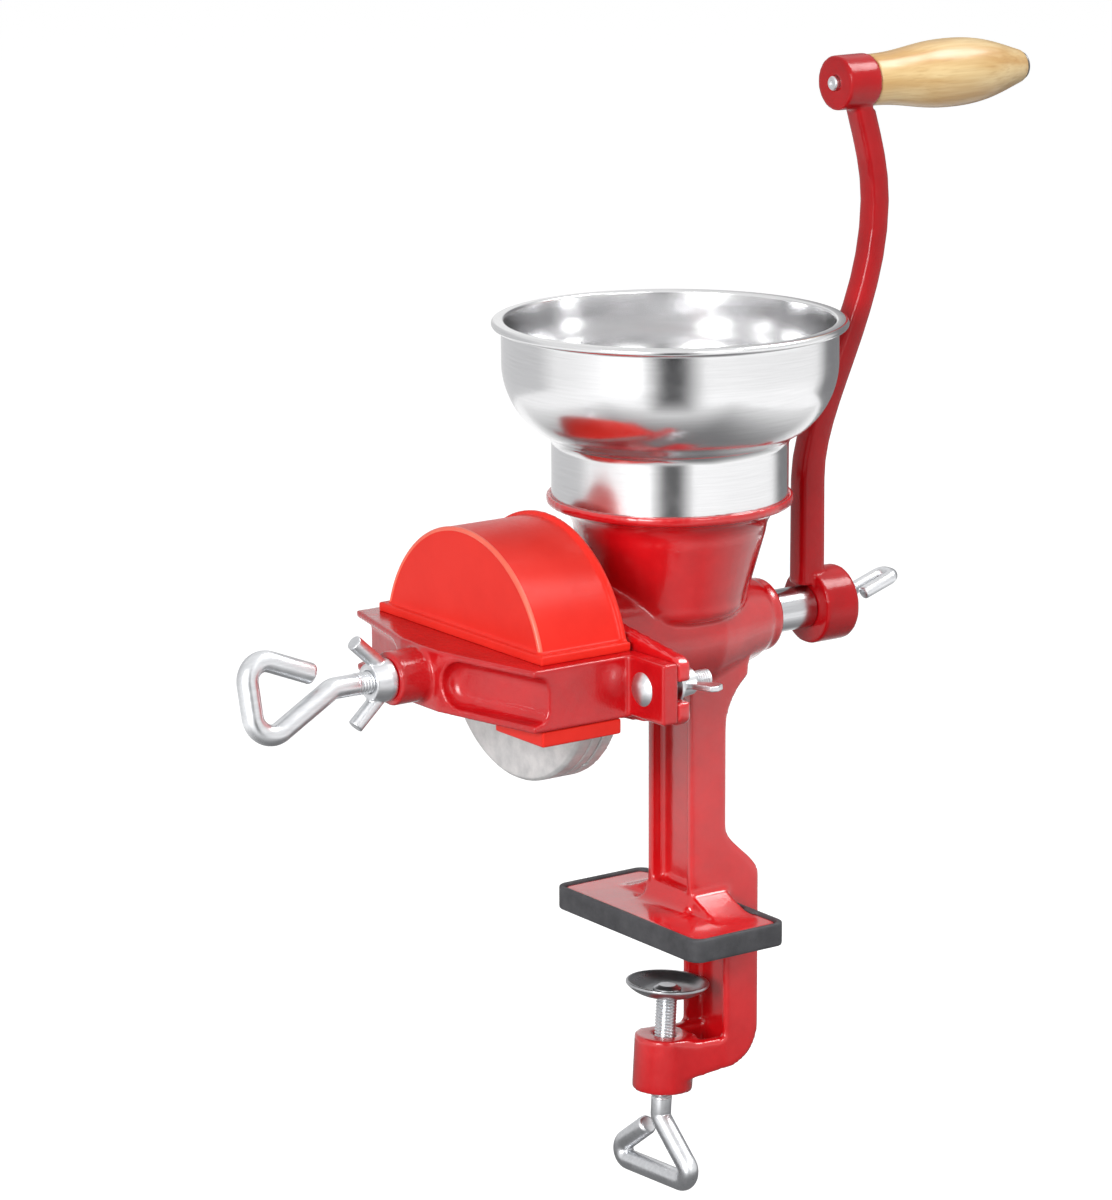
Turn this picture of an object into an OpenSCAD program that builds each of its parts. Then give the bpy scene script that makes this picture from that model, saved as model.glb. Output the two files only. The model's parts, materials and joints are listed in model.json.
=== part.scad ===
// Hand grain mill: a clamp-on plate mill with a low steel hopper.
// The shaft runs along Y, with the crank at +Y and the grinding plates at -Y.
// The origin is straight under the hopper, in the plane of the table top. All sizes are in millimetres.

/* [Hopper] */
// Outer radius of the rolled rim
rim_r = 80; // [72:1:90]
// How far the rim stands out from the side of the bowl
rim_lip = 4.4; // [3:0.2:8]
// Height of the rolled rim
rim_h = 3.5; // [2.5:0.5:6]
// Steel thickness of the hopper
hopper_wall = 1.5; // [1:0.1:2.5]
// Radius of the curve between the side of the bowl and the neck
bowl_curve = 38; // [32:1:60]
// Height of the straight side under the rim
bowl_side = 15.4; // [3:0.2:25]
// Outer radius of the neck
neck_r = 53.4; // [50:0.2:57]
// Height of the neck above the rim of the funnel
neck_h = 25.6; // [16:0.2:40]

/* [Funnel and barrel] */
// Height of the shaft axis above the table top
shaft_z = 140; // [128:1:160]
// Height of the rim of the funnel above the shaft axis
funnel_rise = 64; // [60:1:76]
// Iron around the neck at the rim of the funnel
funnel_lip = 2; // [1.6:0.1:4]
// Height of the rim of the funnel
funnel_lip_h = 4.5; // [4:0.5:9]
// Depth of the recess that takes the neck
socket_d = 2; // [1:0.5:2.5]
// Width of the ledge that carries the neck
socket_ledge = 8; // [5:0.5:9]
// Outer radius of the cone under its cove
cone_r = 43.5; // [41:0.5:46]
// Outer radius of the cone at its foot
cone_foot_r = 35; // [32:0.5:37]
// Wall of the cone
cone_wall = 3.5; // [3:0.25:5]
// Bore of the barrel, as a radius
bore_r = 22; // [20:0.5:23]
// Wall of the barrel
barrel_wall = 5; // [4:0.5:7]
// Where the barrel starts to taper, behind the hopper axis
barrel_back = 12; // [8:1:16]
// Where the bearing ends, behind the hopper axis
bearing_end = 54; // [50:1:62]
// Length of the collar at the end of the bearing
collar_l = 8; // [5:1:12]
// Outer radius of the bearing collar
bearing_r = 17; // [15:0.5:20]

/* [Flange and ears] */
// Distance of the front of the flange from the hopper axis
flange_out = 66; // [63:1:76]
// Thickness of the flange and the ears
flange_t = 7; // [6:0.5:10]
// Radius of the seat behind the fixed burr
seat_r = 48; // [46:1:54]
// Distance of each yoke bolt from the shaft axis
bolt_x = 80; // [79:0.5:88]
// How far each ear reaches past its bolt
ear_reach = 15.5; // [13:0.5:18]
// Height of the end of each ear
ear_h = 30; // [26:1:36]
// Width of the open slot in each ear
slot_w = 9; // [8.6:0.1:11]

/* [Column and clamp frame] */
// Width of the column across X
column_w = 34; // [30:1:40]
// Depth of the column along Y
column_d = 20; // [17:1:24]
// Wall of the channel in the column
channel_wall = 4; // [3:0.5:6]
// Depth of the channel in the column
channel_d = 6; // [4:0.5:12]
// Depth of the spine behind the table's edge
spine_d = 19; // [16:1:24]
// Height between the table top and the arm of the clamp
throat_h = 54; // [48:1:64]
// Height of the lower arm
arm_h = 18; // [15:1:22]
// Radius of the boss that takes the clamp screw
clamp_boss_r = 14; // [12:0.5:16]
// Height of the boss that takes the clamp screw
clamp_boss_h = 26; // [22:1:30]
// Lean of the clamp screw toward the table's edge, in degrees
clamp_lean = 3.4; // [0:0.2:5]

/* [Rest plate and pad] */
// Width of the rubber pad across X
pad_w = 110; // [98:1:122]
// Depth of the rubber pad along Y
pad_d = 52; // [46:1:60]
// Height of the rubber pad
pad_h = 11; // [9.5:0.5:16]
// Wall of the rubber pad
pad_wall = 2.5; // [2:0.5:5]
// Rubber under the plate
pad_floor = 3; // [2:0.5:4]
// How far the plate lies below the edge of the pad
plate_drop = 1; // [0.5:0.5:3]
// Corner radius of the pad
pad_corner = 6; // [5:0.5:10]

/* [Clamp screw] */
// Radius of both bent screws over the thread
screw_r = 4.9; // [4.4:0.1:5.4]
// Height between the cup and the table plane
cup_gap = 26.6; // [20:0.2:31]
// Radius of the cup
cup_r = 19.3; // [16:0.1:22]
// Height of the cup
cup_h = 6.6; // [6:0.2:9]
// Bare screw between the boss and the bend
clamp_travel = 9; // [8.5:0.5:20]
// Turn of the loop about the clamp screw, in degrees
clamp_loop_turn = 5; // [0:1:90]
// Length of the loop on the clamp screw
clamp_loop_l = 31.5; // [29:0.5:40]
// Reach of the clamp loop's first corner from the screw's line
clamp_loop_half = 28.5; // [24:0.5:34]
// Reach of the clamp loop's far corner from the screw's line
clamp_loop_far = 34; // [30:0.5:40]
// Bend radius of the clamp loop
clamp_loop_bend = 5; // [4.5:0.5:7]
// Turn of the loop about the adjusting screw, in degrees
adjust_loop_turn = 14; // [0:1:45]
// Length of the loop on the adjusting screw
adjust_loop_l = 46; // [38:1:56]
// Half width of the loop on the adjusting screw
adjust_loop_half = 21; // [18:0.5:24]
// Bend radius of the loop on the adjusting screw
loop_bend = 9; // [7:0.5:11]

/* [Grinding plates] */
// Radius of both burrs
burr_r = 56; // [52:0.5:60]
// Thickness of the fixed burr
fixed_burr_t = 6; // [5:0.5:9]
// Thickness of the turning burr
turning_burr_t = 5; // [4.5:0.5:8]
// Gap between the burrs at the finest setting
burr_gap = 0.4; // [0.3:0.1:1]
// Thickness of the rotor disc
disc_t = 8; // [7:0.5:11]
// Radius of the hub of the rotor disc
disc_hub_r = 15; // [13.5:0.5:18]
// Length of the hub of the rotor disc
disc_hub_l = 8; // [7:0.5:12]
// Grooves in each burr
grooves = 16; // [8:1:24]
// Radius of the circle of burr screws
burr_screw_pcr = 38; // [34:0.5:42]

/* [Shaft and feed screw] */
// Radius of the shaft in its bearing
shaft_r = 10; // [9.4:0.1:11]
// Radius of the front of the shaft, in the rotor disc
tip_r = 9; // [8:0.1:9.3]
// Clearance of the feed screw in the bore
feed_gap = 0.6; // [0.4:0.1:1.5]
// Pitch of the feed screw
feed_pitch = 30; // [24:1:40]
// Thickness of the feed screw's flight
flight_t = 4; // [3:0.5:6]
// Radius of the drive pin
pin_r = 3; // [2.5:0.1:3.5]
// Radius of the thrust ball
ball_r = 4; // [3.2:0.1:4.4]

/* [Yoke] */
// Clear space in front of the rotor disc, inside the yoke
yoke_room = 20; // [16:1:28]
// Length of the nose in front of the yoke's inner face
nose_l = 39; // [35:1:48]
// Radius of the nose
nose_r = 12; // [10:0.5:14]
// Height of the yoke above the shaft axis
yoke_up = 13; // [10:0.5:15]
// Depth of the yoke below the shaft axis
yoke_down = 14.5; // [11:0.5:17]
// Thickness of the yoke's side arms
yoke_arm_t = 8; // [6:0.5:9]
// Thickness of the yoke at its front corners
yoke_corner_t = 10; // [9.5:0.5:12]
// Thickness of the lugs that are bolted to the ears
lug_t = 8; // [6:0.5:10]
// Height of those lugs
lug_h = 27; // [24:1:31]
// Depth of the pocket in each front face
pocket_d = 7.5; // [4:0.5:8]
// Height of that pocket
pocket_h = 21; // [15:0.5:23]

/* [Guard] */
// Space between the burrs and the guard
guard_gap = 3.3; // [2:0.1:5]
// Wall of the guard
guard_wall = 2.2; // [1.8:0.1:3]
// How far the lip of the guard stands out
guard_lip = 2.4; // [1.8:0.2:4]
// Height of the lip that lies on the yoke
guard_lip_h = 4; // [3:0.5:7]
// Gap between the guard and the flange
guard_back_gap = 2; // [1:0.5:4]
// Height of the hooks under the yoke
hook_h = 7; // [4:0.5:9]
// Length of the hooks along the front of the yoke
hook_front_l = 29; // [20:1:40]
// Length of the hooks along the sides of the yoke
hook_side_l = 36; // [20:1:40]

/* [Bolts and nuts] */
// Radius of the yoke bolts over the thread
bolt_r = 4; // [3.6:0.1:4.2]
// Radius of the heads of the yoke bolts
bolt_head_r = 7.5; // [6.5:0.5:9]
// Thread behind the wing nuts at rest
bolt_spare = 9; // [6:0.5:14]
// Radius of the washers
washer_r = 9; // [8.5:0.5:11]
// Thickness of the washers
washer_t = 1.6; // [1.2:0.2:2.4]
// Length of the hub of each wing nut
nut_l = 9; // [7:0.5:12]
// Radius of the hub of each wing nut
nut_r = 7; // [6.2:0.2:8]
// Reach of each wing from the bolt axis
wing_reach = 19; // [14:0.5:22]

/* [Crank] */
// Bare shaft between the bearing and the crank
shaft_bare = 24; // [16:1:30]
// Radius of the crank, from the shaft to the handle
crank_r = 241; // [225:1:260]
// Radius of the hub of the crank
hub_r = 17.5; // [15:0.5:20]
// Length of the hub of the crank
hub_l = 18.5; // [16:0.5:28]
// Across flats of the square on the end of the shaft
square_w = 12; // [11:0.2:13]
// Width of the arm across X
crank_w = 13.3; // [10:0.1:16]
// Thickness of the arm
crank_t = 14.3; // [11:0.1:16]
// Thickness of the crank's arm above its root
crank_tip_t = 10.8; // [8:0.1:12]
// Space between the rim of the hopper and the arm
rim_clear = 31.1; // [24:0.5:40]
// Radius of the boss at the handle
boss_r = 12.5; // [11:0.5:15]
// Length of the boss at the handle
boss_l = 18; // [15:0.5:22]
// How far the boss is set back from the outermost bend
boss_back = 24; // [20:0.5:28]

/* [Handle] */
// Length of the wooden grip
grip_l = 91; // [80:1:110]
// Radius of the grip at the crank
grip_neck_r = 11.7; // [9.7:0.1:13]
// Largest radius of the grip
grip_r = 15.8; // [14:0.2:18]
// Radius of the grip at its far end
grip_end_r = 7.4; // [6.8:0.2:10]
// Radius of the spindle
spindle_r = 4; // [3.6:0.1:4.6]
// Radius of the spindle's riveted tip in the crank
spindle_tip_r = 3.3; // [2.6:0.1:3.4]
// Radius of the heads of the spindle
spindle_head_r = 6.5; // [5.5:0.1:8]

/* [Hidden] */
$fn = 64;

// Clearances: a running fit, a loose fit, and the air between pieces that move apart
run = 0.08;
loose = 0.25;
air = 0.3;
rest_gap = 0.1;
// How far a cut runs past the face that it opens
past = 1;

// Colours of the finishes
enamel = "#b81a22";
plastic = "#e8352b";
steel = "#c9ccd0";
bright = "#dfe2e5";
rubber = "#3c3d40";
wood = "#dcb878";

// Heights of the funnel and the hopper
funnel_top = shaft_z + funnel_rise;
socket_r = neck_r + loose;
funnel_r = socket_r + funnel_lip;
cove_r = funnel_r - cone_r;
cone_top = funnel_top - funnel_lip_h - cove_r;
cone_foot = shaft_z + 17;
foot_round = 8;
ledge_r = socket_r - socket_ledge;
neck_foot = funnel_top - socket_d;
bowl_r = rim_r - rim_lip;
neck_top = funnel_top + neck_h;
bowl_angle = acos((bowl_curve - bowl_r + neck_r) / bowl_curve);
bowl_z = neck_top + bowl_curve * sin(bowl_angle);
rim_z = bowl_z + bowl_side + rim_h;

// Places along the shaft, from the flange to the nose
barrel_r = bore_r + barrel_wall;
flange_y = -flange_out;
gap_y = flange_y - fixed_burr_t;
turning_y = gap_y - burr_gap;
disc_y = turning_y - turning_burr_t;
disc_front = disc_y - disc_t;
disc_nose = disc_front - disc_hub_l;
pin_y = disc_front - pin_r - loose;
tip_y = disc_nose - 1;
ball_y = tip_y - ball_r * 0.4;
screw_tip_y = ball_y - ball_r * 0.4;
yoke_in_y = disc_nose - yoke_room;
nose_y = yoke_in_y - nose_l;
nut_room = 10;
adjust_bend_y = nose_y - 2.4 * nut_room;

// Places across the yoke and the guard
guard_in_r = burr_r + guard_gap;
guard_r = guard_in_r + guard_wall;
yoke_in_x = guard_r + 0.5;
yoke_x = yoke_in_x + yoke_arm_t;
yoke_corner_y = yoke_in_y - yoke_corner_t;
yoke_top = shaft_z + yoke_up;
yoke_foot = shaft_z - yoke_down;
lug_end_x = bolt_x + ear_reach;
lug_x = guard_r + guard_lip + 1;
lug_y = flange_y - lug_t;
bar_x = nose_r + 2;
bar_y = nose_y + 16;
hook_corner_y = yoke_corner_y + 5;
guard_y = yoke_in_y + 0.5;
nose_back_y = guard_y - guard_lip - loose;
guard_back = flange_y - guard_back_gap;

// Places along the column, from the barrel to the clamp
column_y = 0;
column_back = column_y + column_d;
spine_y = column_back;
spine_back = spine_y + spine_d;
lower_arm_top = -throat_h;
lower_arm_foot = lower_arm_top - arm_h;
clamp_y = column_y + 0.7;
clamp_boss_top = lower_arm_top + 2;
clamp_boss_y = clamp_y + (clamp_boss_top - clamp_boss_h / 2) * sin(clamp_lean);
clamp_boss_foot = clamp_boss_top - clamp_boss_h;
plate_z = pad_h - plate_drop;
cup_z = -cup_gap;
cup_foot = cup_z - cup_h;
cup_floor = cup_foot + 2.5;
clamp_bend_z = clamp_boss_foot - clamp_travel;
neck_pin_r = screw_r - 0.9;

// Places along the crank and the handle
hub_y = bearing_end + shaft_bare;
hub_back = hub_y + hub_l;
square_l = hub_l - 5;
arm_proud = 6.3;
arm_root_y = hub_y + crank_t / 2 - arm_proud;
arm_out_y = rim_r + rim_clear + crank_tip_t / 2;
boss_y = arm_out_y - boss_back;
boss_back_y = boss_y + boss_l;
arm_tip_y = boss_back_y - crank_tip_t / 2 - 0.5;
boss_z = shaft_z + crank_r;
grip_y = boss_back_y + air;
grip_back = grip_y + grip_l;
crank_screw_r = 3.5;
crank_wire_r = 3.2;
eye_tilt = 18;
eye_l = 27.8;
eye_half = 4.4;
eye_bend = 3.4;

// Points on an arc about c, from angle a0 to a1
function arc(c, r, a0, a1, n = 8) =
    [for (i = [0:n]) let (a = a0 + (a1 - a0) * i / n) [c[0] + r * cos(a), c[1] + r * sin(a)]];

// Point at t on a cubic curve with control points p
function cubic(p, t) =
    pow(1 - t, 3) * p[0] + 3 * t * pow(1 - t, 2) * p[1] + 3 * t * t * (1 - t) * p[2] + pow(t, 3) * p[3];

function unit(v) = v / norm(v);
function left_of(v) = [-v[1], v[0]];

// Points on a round bend of radius r at corner b, between a and c
function bend(a, b, c, r, n = 6) =
    let (u = unit(a - b), w = unit(c - b), half = acos(u * w) / 2)
    let (reach = r / tan(half), centre = b + unit(u + w) * r / sin(half))
    let (p = b + u * reach - centre, q = b + w * reach - centre, swing = 180 - 2 * half)
    [for (i = [0:n]) let (s = i / n)
        centre + (p * sin((1 - s) * swing) + q * sin(s * swing)) / sin(swing)];

// Corner points with every inner corner rounded
function rounded(pts, r) = concat(
    [pts[0]], [for (i = [1:len(pts) - 2]) each bend(pts[i - 1], pts[i], pts[i + 1], r)], [pts[len(pts) - 1]]);

// Direction of a list of points at point i
function heading(pts, i) = unit(pts[min(i + 1, len(pts) - 1)] - pts[max(i - 1, 0)]);

// Places children with their Z axis along the shaft, at y
module on_shaft(y = 0) translate([0, y, shaft_z]) rotate([-90, 0, 0]) children();

// Solid of revolution about the shaft, from [radius, y] points
module turned(pts) on_shaft() rotate_extrude() polygon(pts);

// Round bar on the shaft axis between y0 and y1
module shaft_bar(r, y0, y1) on_shaft(y0) cylinder(r = r, h = y1 - y0);

// Solid of revolution about a vertical axis, from [radius, z] points
module upright(pts) rotate_extrude() polygon(pts);

// Slab of width w across X, from [y, z] points
module slab(w, pts) translate([-w / 2, 0, 0]) rotate([90, 0, 90]) linear_extrude(w) polygon(pts);

// Plate along Y between y0 and y1, from a flat shape in X and Z
module plate_y(y0, y1) translate([0, y1, 0]) rotate([90, 0, 0]) linear_extrude(y1 - y0) children();

// Places children on the leaning axis of the clamp screw
module on_clamp() translate([0, clamp_y, 0]) rotate([-clamp_lean, 0, 0]) children();

// Copies children to both sides of the mill
module both_sides() {
    children();
    mirror([1, 0, 0]) children();
}

// Round bar between two points
module bar(p, q, r) {
    v = q - p;
    translate(p)
        rotate([0, acos(v[2] / norm(v)), atan2(v[1], v[0])])
            cylinder(r = r, h = norm(v));
}

// Rectangle with round corners, centred on the origin
module round_rect(w, d, r) {
    square([w - 2 * r, d], center = true);
    square([w, d - 2 * r], center = true);
    for (x = [-1, 1], y = [-1, 1])
        translate([x * (w / 2 - r), y * (d / 2 - r)]) circle(r);
}

// Bar bent in the XZ plane, from [x, z] points and a section across them, which shrinks to thin at mid length
module bent_bar(pts, section, thin = [1, 1]) {
    n = len(pts);
    sides = len(section);
    rings = [for (i = [0:n - 1]) let (side = left_of(heading(pts, i)), share = min(1, 2 * i / (n - 1)))
        for (s = section) let (across = pts[i] + side * s[0] * (1 - share + share * thin[0]))
            [across[0], s[1] * (1 - share + share * thin[1]), across[1]]];
    skin = [for (i = [0:n - 2], k = [0:sides - 1]) let (k2 = (k + 1) % sides)
        each [[i * sides + k, i * sides + k2, (i + 1) * sides + k2],
              [i * sides + k, (i + 1) * sides + k2, (i + 1) * sides + k]]];
    foot = [for (k = [0:sides - 1]) sides - 1 - k];
    head = [for (k = [0:sides - 1]) (n - 1) * sides + k];
    polyhedron(points = rings, faces = concat(skin, [foot, head]));
}

// Round wire bent in the XZ plane
module wire(pts, r, sides = 12) {
    bent_bar(pts, [for (k = [0:sides - 1]) r * [cos(360 * k / sides), sin(360 * k / sides)]]);
}

// Three-sided loop that hangs from a screw, with its bend at the origin and the screw along +Z
module loop(length, half, far, tip, bend_r, wire_r) {
    wire(rounded([[0, wire_r], [0, -wire_r], [-half, -length], [far, -length], tip], max(bend_r, wire_r)), wire_r - 0.1);
}

// Three screws on the burr screw circle
module at_burr_screws(turn) {
    for (k = [0:2])
        on_shaft() rotate(turn + 120 * k) translate([burr_screw_pcr, 0, 0]) children();
}

// Countersunk screw along +Z with its head's face at z = 0
burr_screw_r = 2.5;
burr_head_r = 4.5;
burr_head_h = 2.2;
module countersunk(length, gap) {
    translate([0, 0, burr_head_h]) cylinder(r = burr_screw_r + gap, h = length - burr_head_h);
    cylinder(r1 = burr_head_r + gap, r2 = burr_screw_r + gap, h = burr_head_h);
}

// Burr: a grooved ring whose grinding face looks along dir, at y
groove_w = 2.4;
groove_d = 1.2;
module burr(back, face, hole_r) {
    dir = sign(face - back);
    difference() {
        shaft_bar(burr_r, min(back, face), max(back, face));
        shaft_bar(hole_r, min(back, face) - past, max(back, face) + past);
        for (k = [0:grooves - 1])
            on_shaft(face) rotate(360 * k / grooves + 7)
                translate([burr_r * 0.45, -groove_w / 2, dir > 0 ? -groove_d : -past])
                    cube([burr_r, groove_w, groove_d + past]);
    }
}

fixed_screw_l = fixed_burr_t + flange_t - 1;
turning_screw_l = turning_burr_t + disc_t - 2;
screw_sink = 0.4;

// Holes for the screws of the fixed burr, which point backward
module fixed_screw_shape(gap) at_burr_screws(30)
    translate([0, 0, gap_y + screw_sink]) countersunk(fixed_screw_l - screw_sink, gap);

// Holes for the screws of the turning burr, which point forward
module turning_screw_shape(gap) at_burr_screws(-30)
    translate([0, 0, turning_y - screw_sink]) mirror([0, 0, 1]) countersunk(turning_screw_l - screw_sink, gap);

// Outline of the ears and the flange between them, in X and Z about the shaft
ear_corner = 3;
module ears_shape() {
    half = ear_h / 2;
    right = [[lug_end_x - ear_corner, half], [lug_end_x, half - ear_corner],
             [lug_end_x, ear_corner - half], [lug_end_x - ear_corner, -half]];
    translate([0, shaft_z]) {
        circle(barrel_r);
        polygon(concat([[0, barrel_r]], right, [[0, -barrel_r]]));
        mirror([1, 0]) polygon(concat([[0, barrel_r]], right, [[0, -barrel_r]]));
    }
}

// Outside of the funnel, as a solid
module funnel_solid() upright(concat(
    [[0, funnel_top], [funnel_r, funnel_top]],
    arc([funnel_r, cone_top], cove_r, 90, 180),
    arc([cone_foot_r - foot_round, cone_foot], foot_round, 0, -90),
    [[0, cone_foot - foot_round]]));

// Inside of the funnel, down into the bore
module funnel_inside() upright([
    [0, funnel_top + past], [socket_r, funnel_top + past], [socket_r, neck_foot], [ledge_r, neck_foot],
    [cone_r - cone_wall, cone_top], [cone_foot_r - cone_wall, cone_foot],
    [bore_r - 3, cone_foot - foot_round / 2], [bore_r - 3, shaft_z], [0, shaft_z]]);

// Barrel, its taper and the collar of the bearing
module barrel_solid() turned([
    [0, flange_y], [barrel_r, flange_y], [barrel_r, barrel_back], [barrel_r - 2, barrel_back + 8],
    [bearing_r + 1, bearing_end - collar_l], [bearing_r, bearing_end - collar_l],
    [bearing_r, bearing_end - 2], [bearing_r - 2, bearing_end], [0, bearing_end]]);

// Bore for the feed screw and the bearing behind it
bore_end = barrel_back + 6;
module barrel_inside() {
    shaft_bar(bore_r, flange_y - past, bore_end);
    shaft_bar(shaft_r + run, bore_end - past, bearing_end + past);
}

// Column, the swept web under the bearing, and the C-shaped frame of the clamp
sweep_r = 30;
sweep_z = shaft_z - barrel_r - 20;
sweep_side = 126;
jog_top = pad_h + 37;
jog_foot = pad_h + 11;
arm_rise = 3;
corner_r = spine_d - 0.5;
module column_solid() {
    jog = [for (i = [0:10]) [spine_y + spine_d * (1 + cos(18 * i)) / 2, jog_foot + (jog_top - jog_foot) * i / 10]];
    corner = arc([spine_back - corner_r, lower_arm_foot + arm_rise + corner_r], corner_r, -90, 0);
    slab(column_w, concat(
        [[column_y, shaft_z], [column_y, pad_floor], [spine_y, pad_floor], [spine_y, lower_arm_foot + arm_rise]],
        corner, jog,
        arc([column_back + sweep_r, sweep_z], sweep_r, 180, sweep_side),
        [[column_back + sweep_r / 2, shaft_z]]));
    slab(column_w / 2, concat(
        arc([column_back + sweep_r, sweep_z], sweep_r, sweep_side, 100),
        [[bearing_end - collar_l, shaft_z], [column_y, shaft_z], [column_y, sweep_z]]));
    arm_back_y = spine_y + 2;
    difference() {
        translate([0, 0, lower_arm_foot])
            linear_extrude(arm_h)
                polygon([[-clamp_boss_r, clamp_boss_y], [clamp_boss_r, clamp_boss_y],
                         [column_w / 2, arm_back_y], [-column_w / 2, arm_back_y]]);
        translate([-column_w, clamp_boss_y, lower_arm_foot])
            rotate([atan(arm_rise / (spine_y - clamp_boss_y)), 0, 0])
                translate([0, -past, -arm_h]) cube([2 * column_w, 2 * column_w, arm_h]);
    }
    on_clamp() translate([0, 0, clamp_boss_foot]) cylinder(r = clamp_boss_r, h = clamp_boss_h);
}

// Channels in the column, the spine and the lower arm, and the thread for the clamp screw
channel_foot = pad_h + 8;
channel_top = shaft_z - barrel_r - 4;
spine_channel_d = 8;
module column_cuts() {
    channel_w = column_w - 2 * channel_wall;
    translate([-channel_w / 2, column_y - past, channel_foot])
        cube([channel_w, channel_d + past, channel_top - channel_foot]);
    translate([-channel_w / 2, spine_y - past, lower_arm_top - past])
        cube([channel_w, spine_channel_d + past, past - channel_wall - lower_arm_top]);
    arm_channel_w = 2 * (clamp_boss_r - channel_wall);
    arm_channel_y = clamp_boss_y + clamp_boss_r;
    translate([-arm_channel_w / 2, arm_channel_y, lower_arm_foot + channel_wall])
        cube([arm_channel_w, spine_y + spine_channel_d - arm_channel_y, arm_h]);
    on_clamp() translate([0, 0, clamp_boss_foot - past]) cylinder(r = screw_r + run, h = clamp_boss_h + 2 * past);
}

// Plate that rests on the table, inside the pad, with fillets up to the column
foot_w = 22;
foot_h = 8;
front_fillet_r = 8;
module rest_plate() {
    play = 0.2;
    side = pad_wall + play;
    translate([0, 0, pad_floor])
        linear_extrude(plate_z - pad_floor)
            round_rect(pad_w - 2 * side, pad_d - 2 * side, pad_corner - pad_wall + 1);
    foot_x = column_w / 2 - past;
    both_sides()
        plate_y(column_y, column_back)
            polygon(concat([[foot_x, plate_z - past], [foot_x, plate_z + foot_h]],
                [for (i = [0:6]) [foot_x + past + foot_w * i / 6, plate_z + foot_h * pow(1 - i / 6, 1.4)]],
                [[foot_x + past + foot_w, plate_z - past]]));
    slab(column_w, concat([[column_y + past, plate_z - past]],
        arc([column_y - front_fillet_r, plate_z + front_fillet_r], front_fillet_r, 0, -90),
        [[column_y - front_fillet_r, plate_z - past]]));
}

module mill_body() {
    color(enamel) difference() {
        union() {
            funnel_solid();
            barrel_solid();
            plate_y(flange_y, flange_y + flange_t) ears_shape();
            shaft_bar(seat_r, flange_y, flange_y + flange_t);
            column_solid();
            rest_plate();
        }
        funnel_inside();
        barrel_inside();
        column_cuts();
        fixed_screw_shape(run);
        for (s = [-1, 1])
            translate([s * bolt_x, 0, shaft_z]) {
                translate([0, flange_y - past, 0]) rotate([-90, 0, 0])
                    cylinder(r = slot_w / 2, h = flange_t + 2 * past);
                translate([s > 0 ? 0 : -ear_reach - past, flange_y - past, -slot_w / 2])
                    cube([ear_reach + past, flange_t + 2 * past, slot_w]);
            }
    }
}

module rest_pad() {
    tab_w = 9;
    tab_d = 2.6;
    tab_x = column_w / 2 + 10;
    tab_z = plate_z + rest_gap;
    color(rubber) both_sides()
        translate([tab_x, pad_d / 2 - pad_wall - tab_d, tab_z]) cube([tab_w, tab_d + pad_wall / 2, pad_h - tab_z]);
    color(rubber) difference() {
        linear_extrude(pad_h) round_rect(pad_w, pad_d, pad_corner);
        translate([0, 0, pad_floor])
            linear_extrude(pad_h)
                round_rect(pad_w - 2 * pad_wall, pad_d - 2 * pad_wall, pad_corner - pad_wall + 1);
        translate([-column_w / 2 - loose, spine_y - loose, -past])
            cube([column_w + 2 * loose, pad_d, pad_h + 2 * past]);
    }
}

module hopper() {
    bowl_c = bowl_r - bowl_curve;
    rim_round = rim_h / 2;
    inner_angle = acos((bowl_curve - bowl_r + neck_r) / (bowl_curve - hopper_wall) - hopper_wall / (bowl_curve - hopper_wall));
    color(bright) upright(concat(
        [[neck_r - hopper_wall, neck_foot + rest_gap], [neck_r, neck_foot + rest_gap]],
        arc([bowl_c, bowl_z], bowl_curve, -bowl_angle, 0, 14),
        [[bowl_r, rim_z - rim_h]],
        arc([rim_r - rim_round, rim_z - rim_round], rim_round, -90, 90),
        [[bowl_r - hopper_wall, rim_z]],
        arc([bowl_c, bowl_z], bowl_curve - hopper_wall, 0, -inner_angle, 14)));
}

// Feed screw's flight: a ribbon wound about the shaft from y0 to y1
module flight(y0, y1, r0, r1) {
    steps = ceil((y1 - y0) / feed_pitch * 24);
    rings = [for (i = [0:steps]) let (y = y0 + (y1 - y0) * i / steps, a = -360 * (y - y0) / feed_pitch)
        each [[r0 * cos(a), r0 * sin(a), y], [r1 * cos(a), r1 * sin(a), y],
              [r1 * cos(a), r1 * sin(a), y + flight_t], [r0 * cos(a), r0 * sin(a), y + flight_t]]];
    skin = [for (i = [0:steps - 1], k = [0:3]) let (k2 = (k + 1) % 4)
        each [[4 * i + k, 4 * i + 4 + k2, 4 * i + k2], [4 * i + k, 4 * i + 4 + k, 4 * i + 4 + k2]]];
    on_shaft()
        polyhedron(points = rings,
            faces = concat(skin, [[0, 1, 2, 3], [4 * steps + 3, 4 * steps + 2, 4 * steps + 1, 4 * steps]]));
}

module auger() {
    color(steel) difference() {
        union() {
            shaft_bar(shaft_r, flange_y, hub_y - air);
            shaft_bar(tip_r, tip_y, flange_y + past);
            flight(flange_y + 1, bore_end - flight_t - 2, shaft_r - 2, bore_r - feed_gap);
            translate([-square_w / 2, hub_y - past, shaft_z - square_w / 2])
                cube([square_w, square_l + past, square_w]);
        }
        translate([0, ball_y, shaft_z]) sphere(ball_r + run);
        translate([-shaft_r - past, pin_y, shaft_z]) rotate([0, 90, 0])
            cylinder(r = pin_r + run, h = 2 * (shaft_r + past));
        shaft_bar(crank_screw_r + run, hub_y + 2, hub_back);
    }
}

module fixed_burr() {
    color(steel) difference() {
        burr(flange_y, gap_y, bore_r);
        fixed_screw_shape(run);
    }
}

module fixed_burr_screws() {
    color(bright) fixed_screw_shape(0);
}

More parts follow.
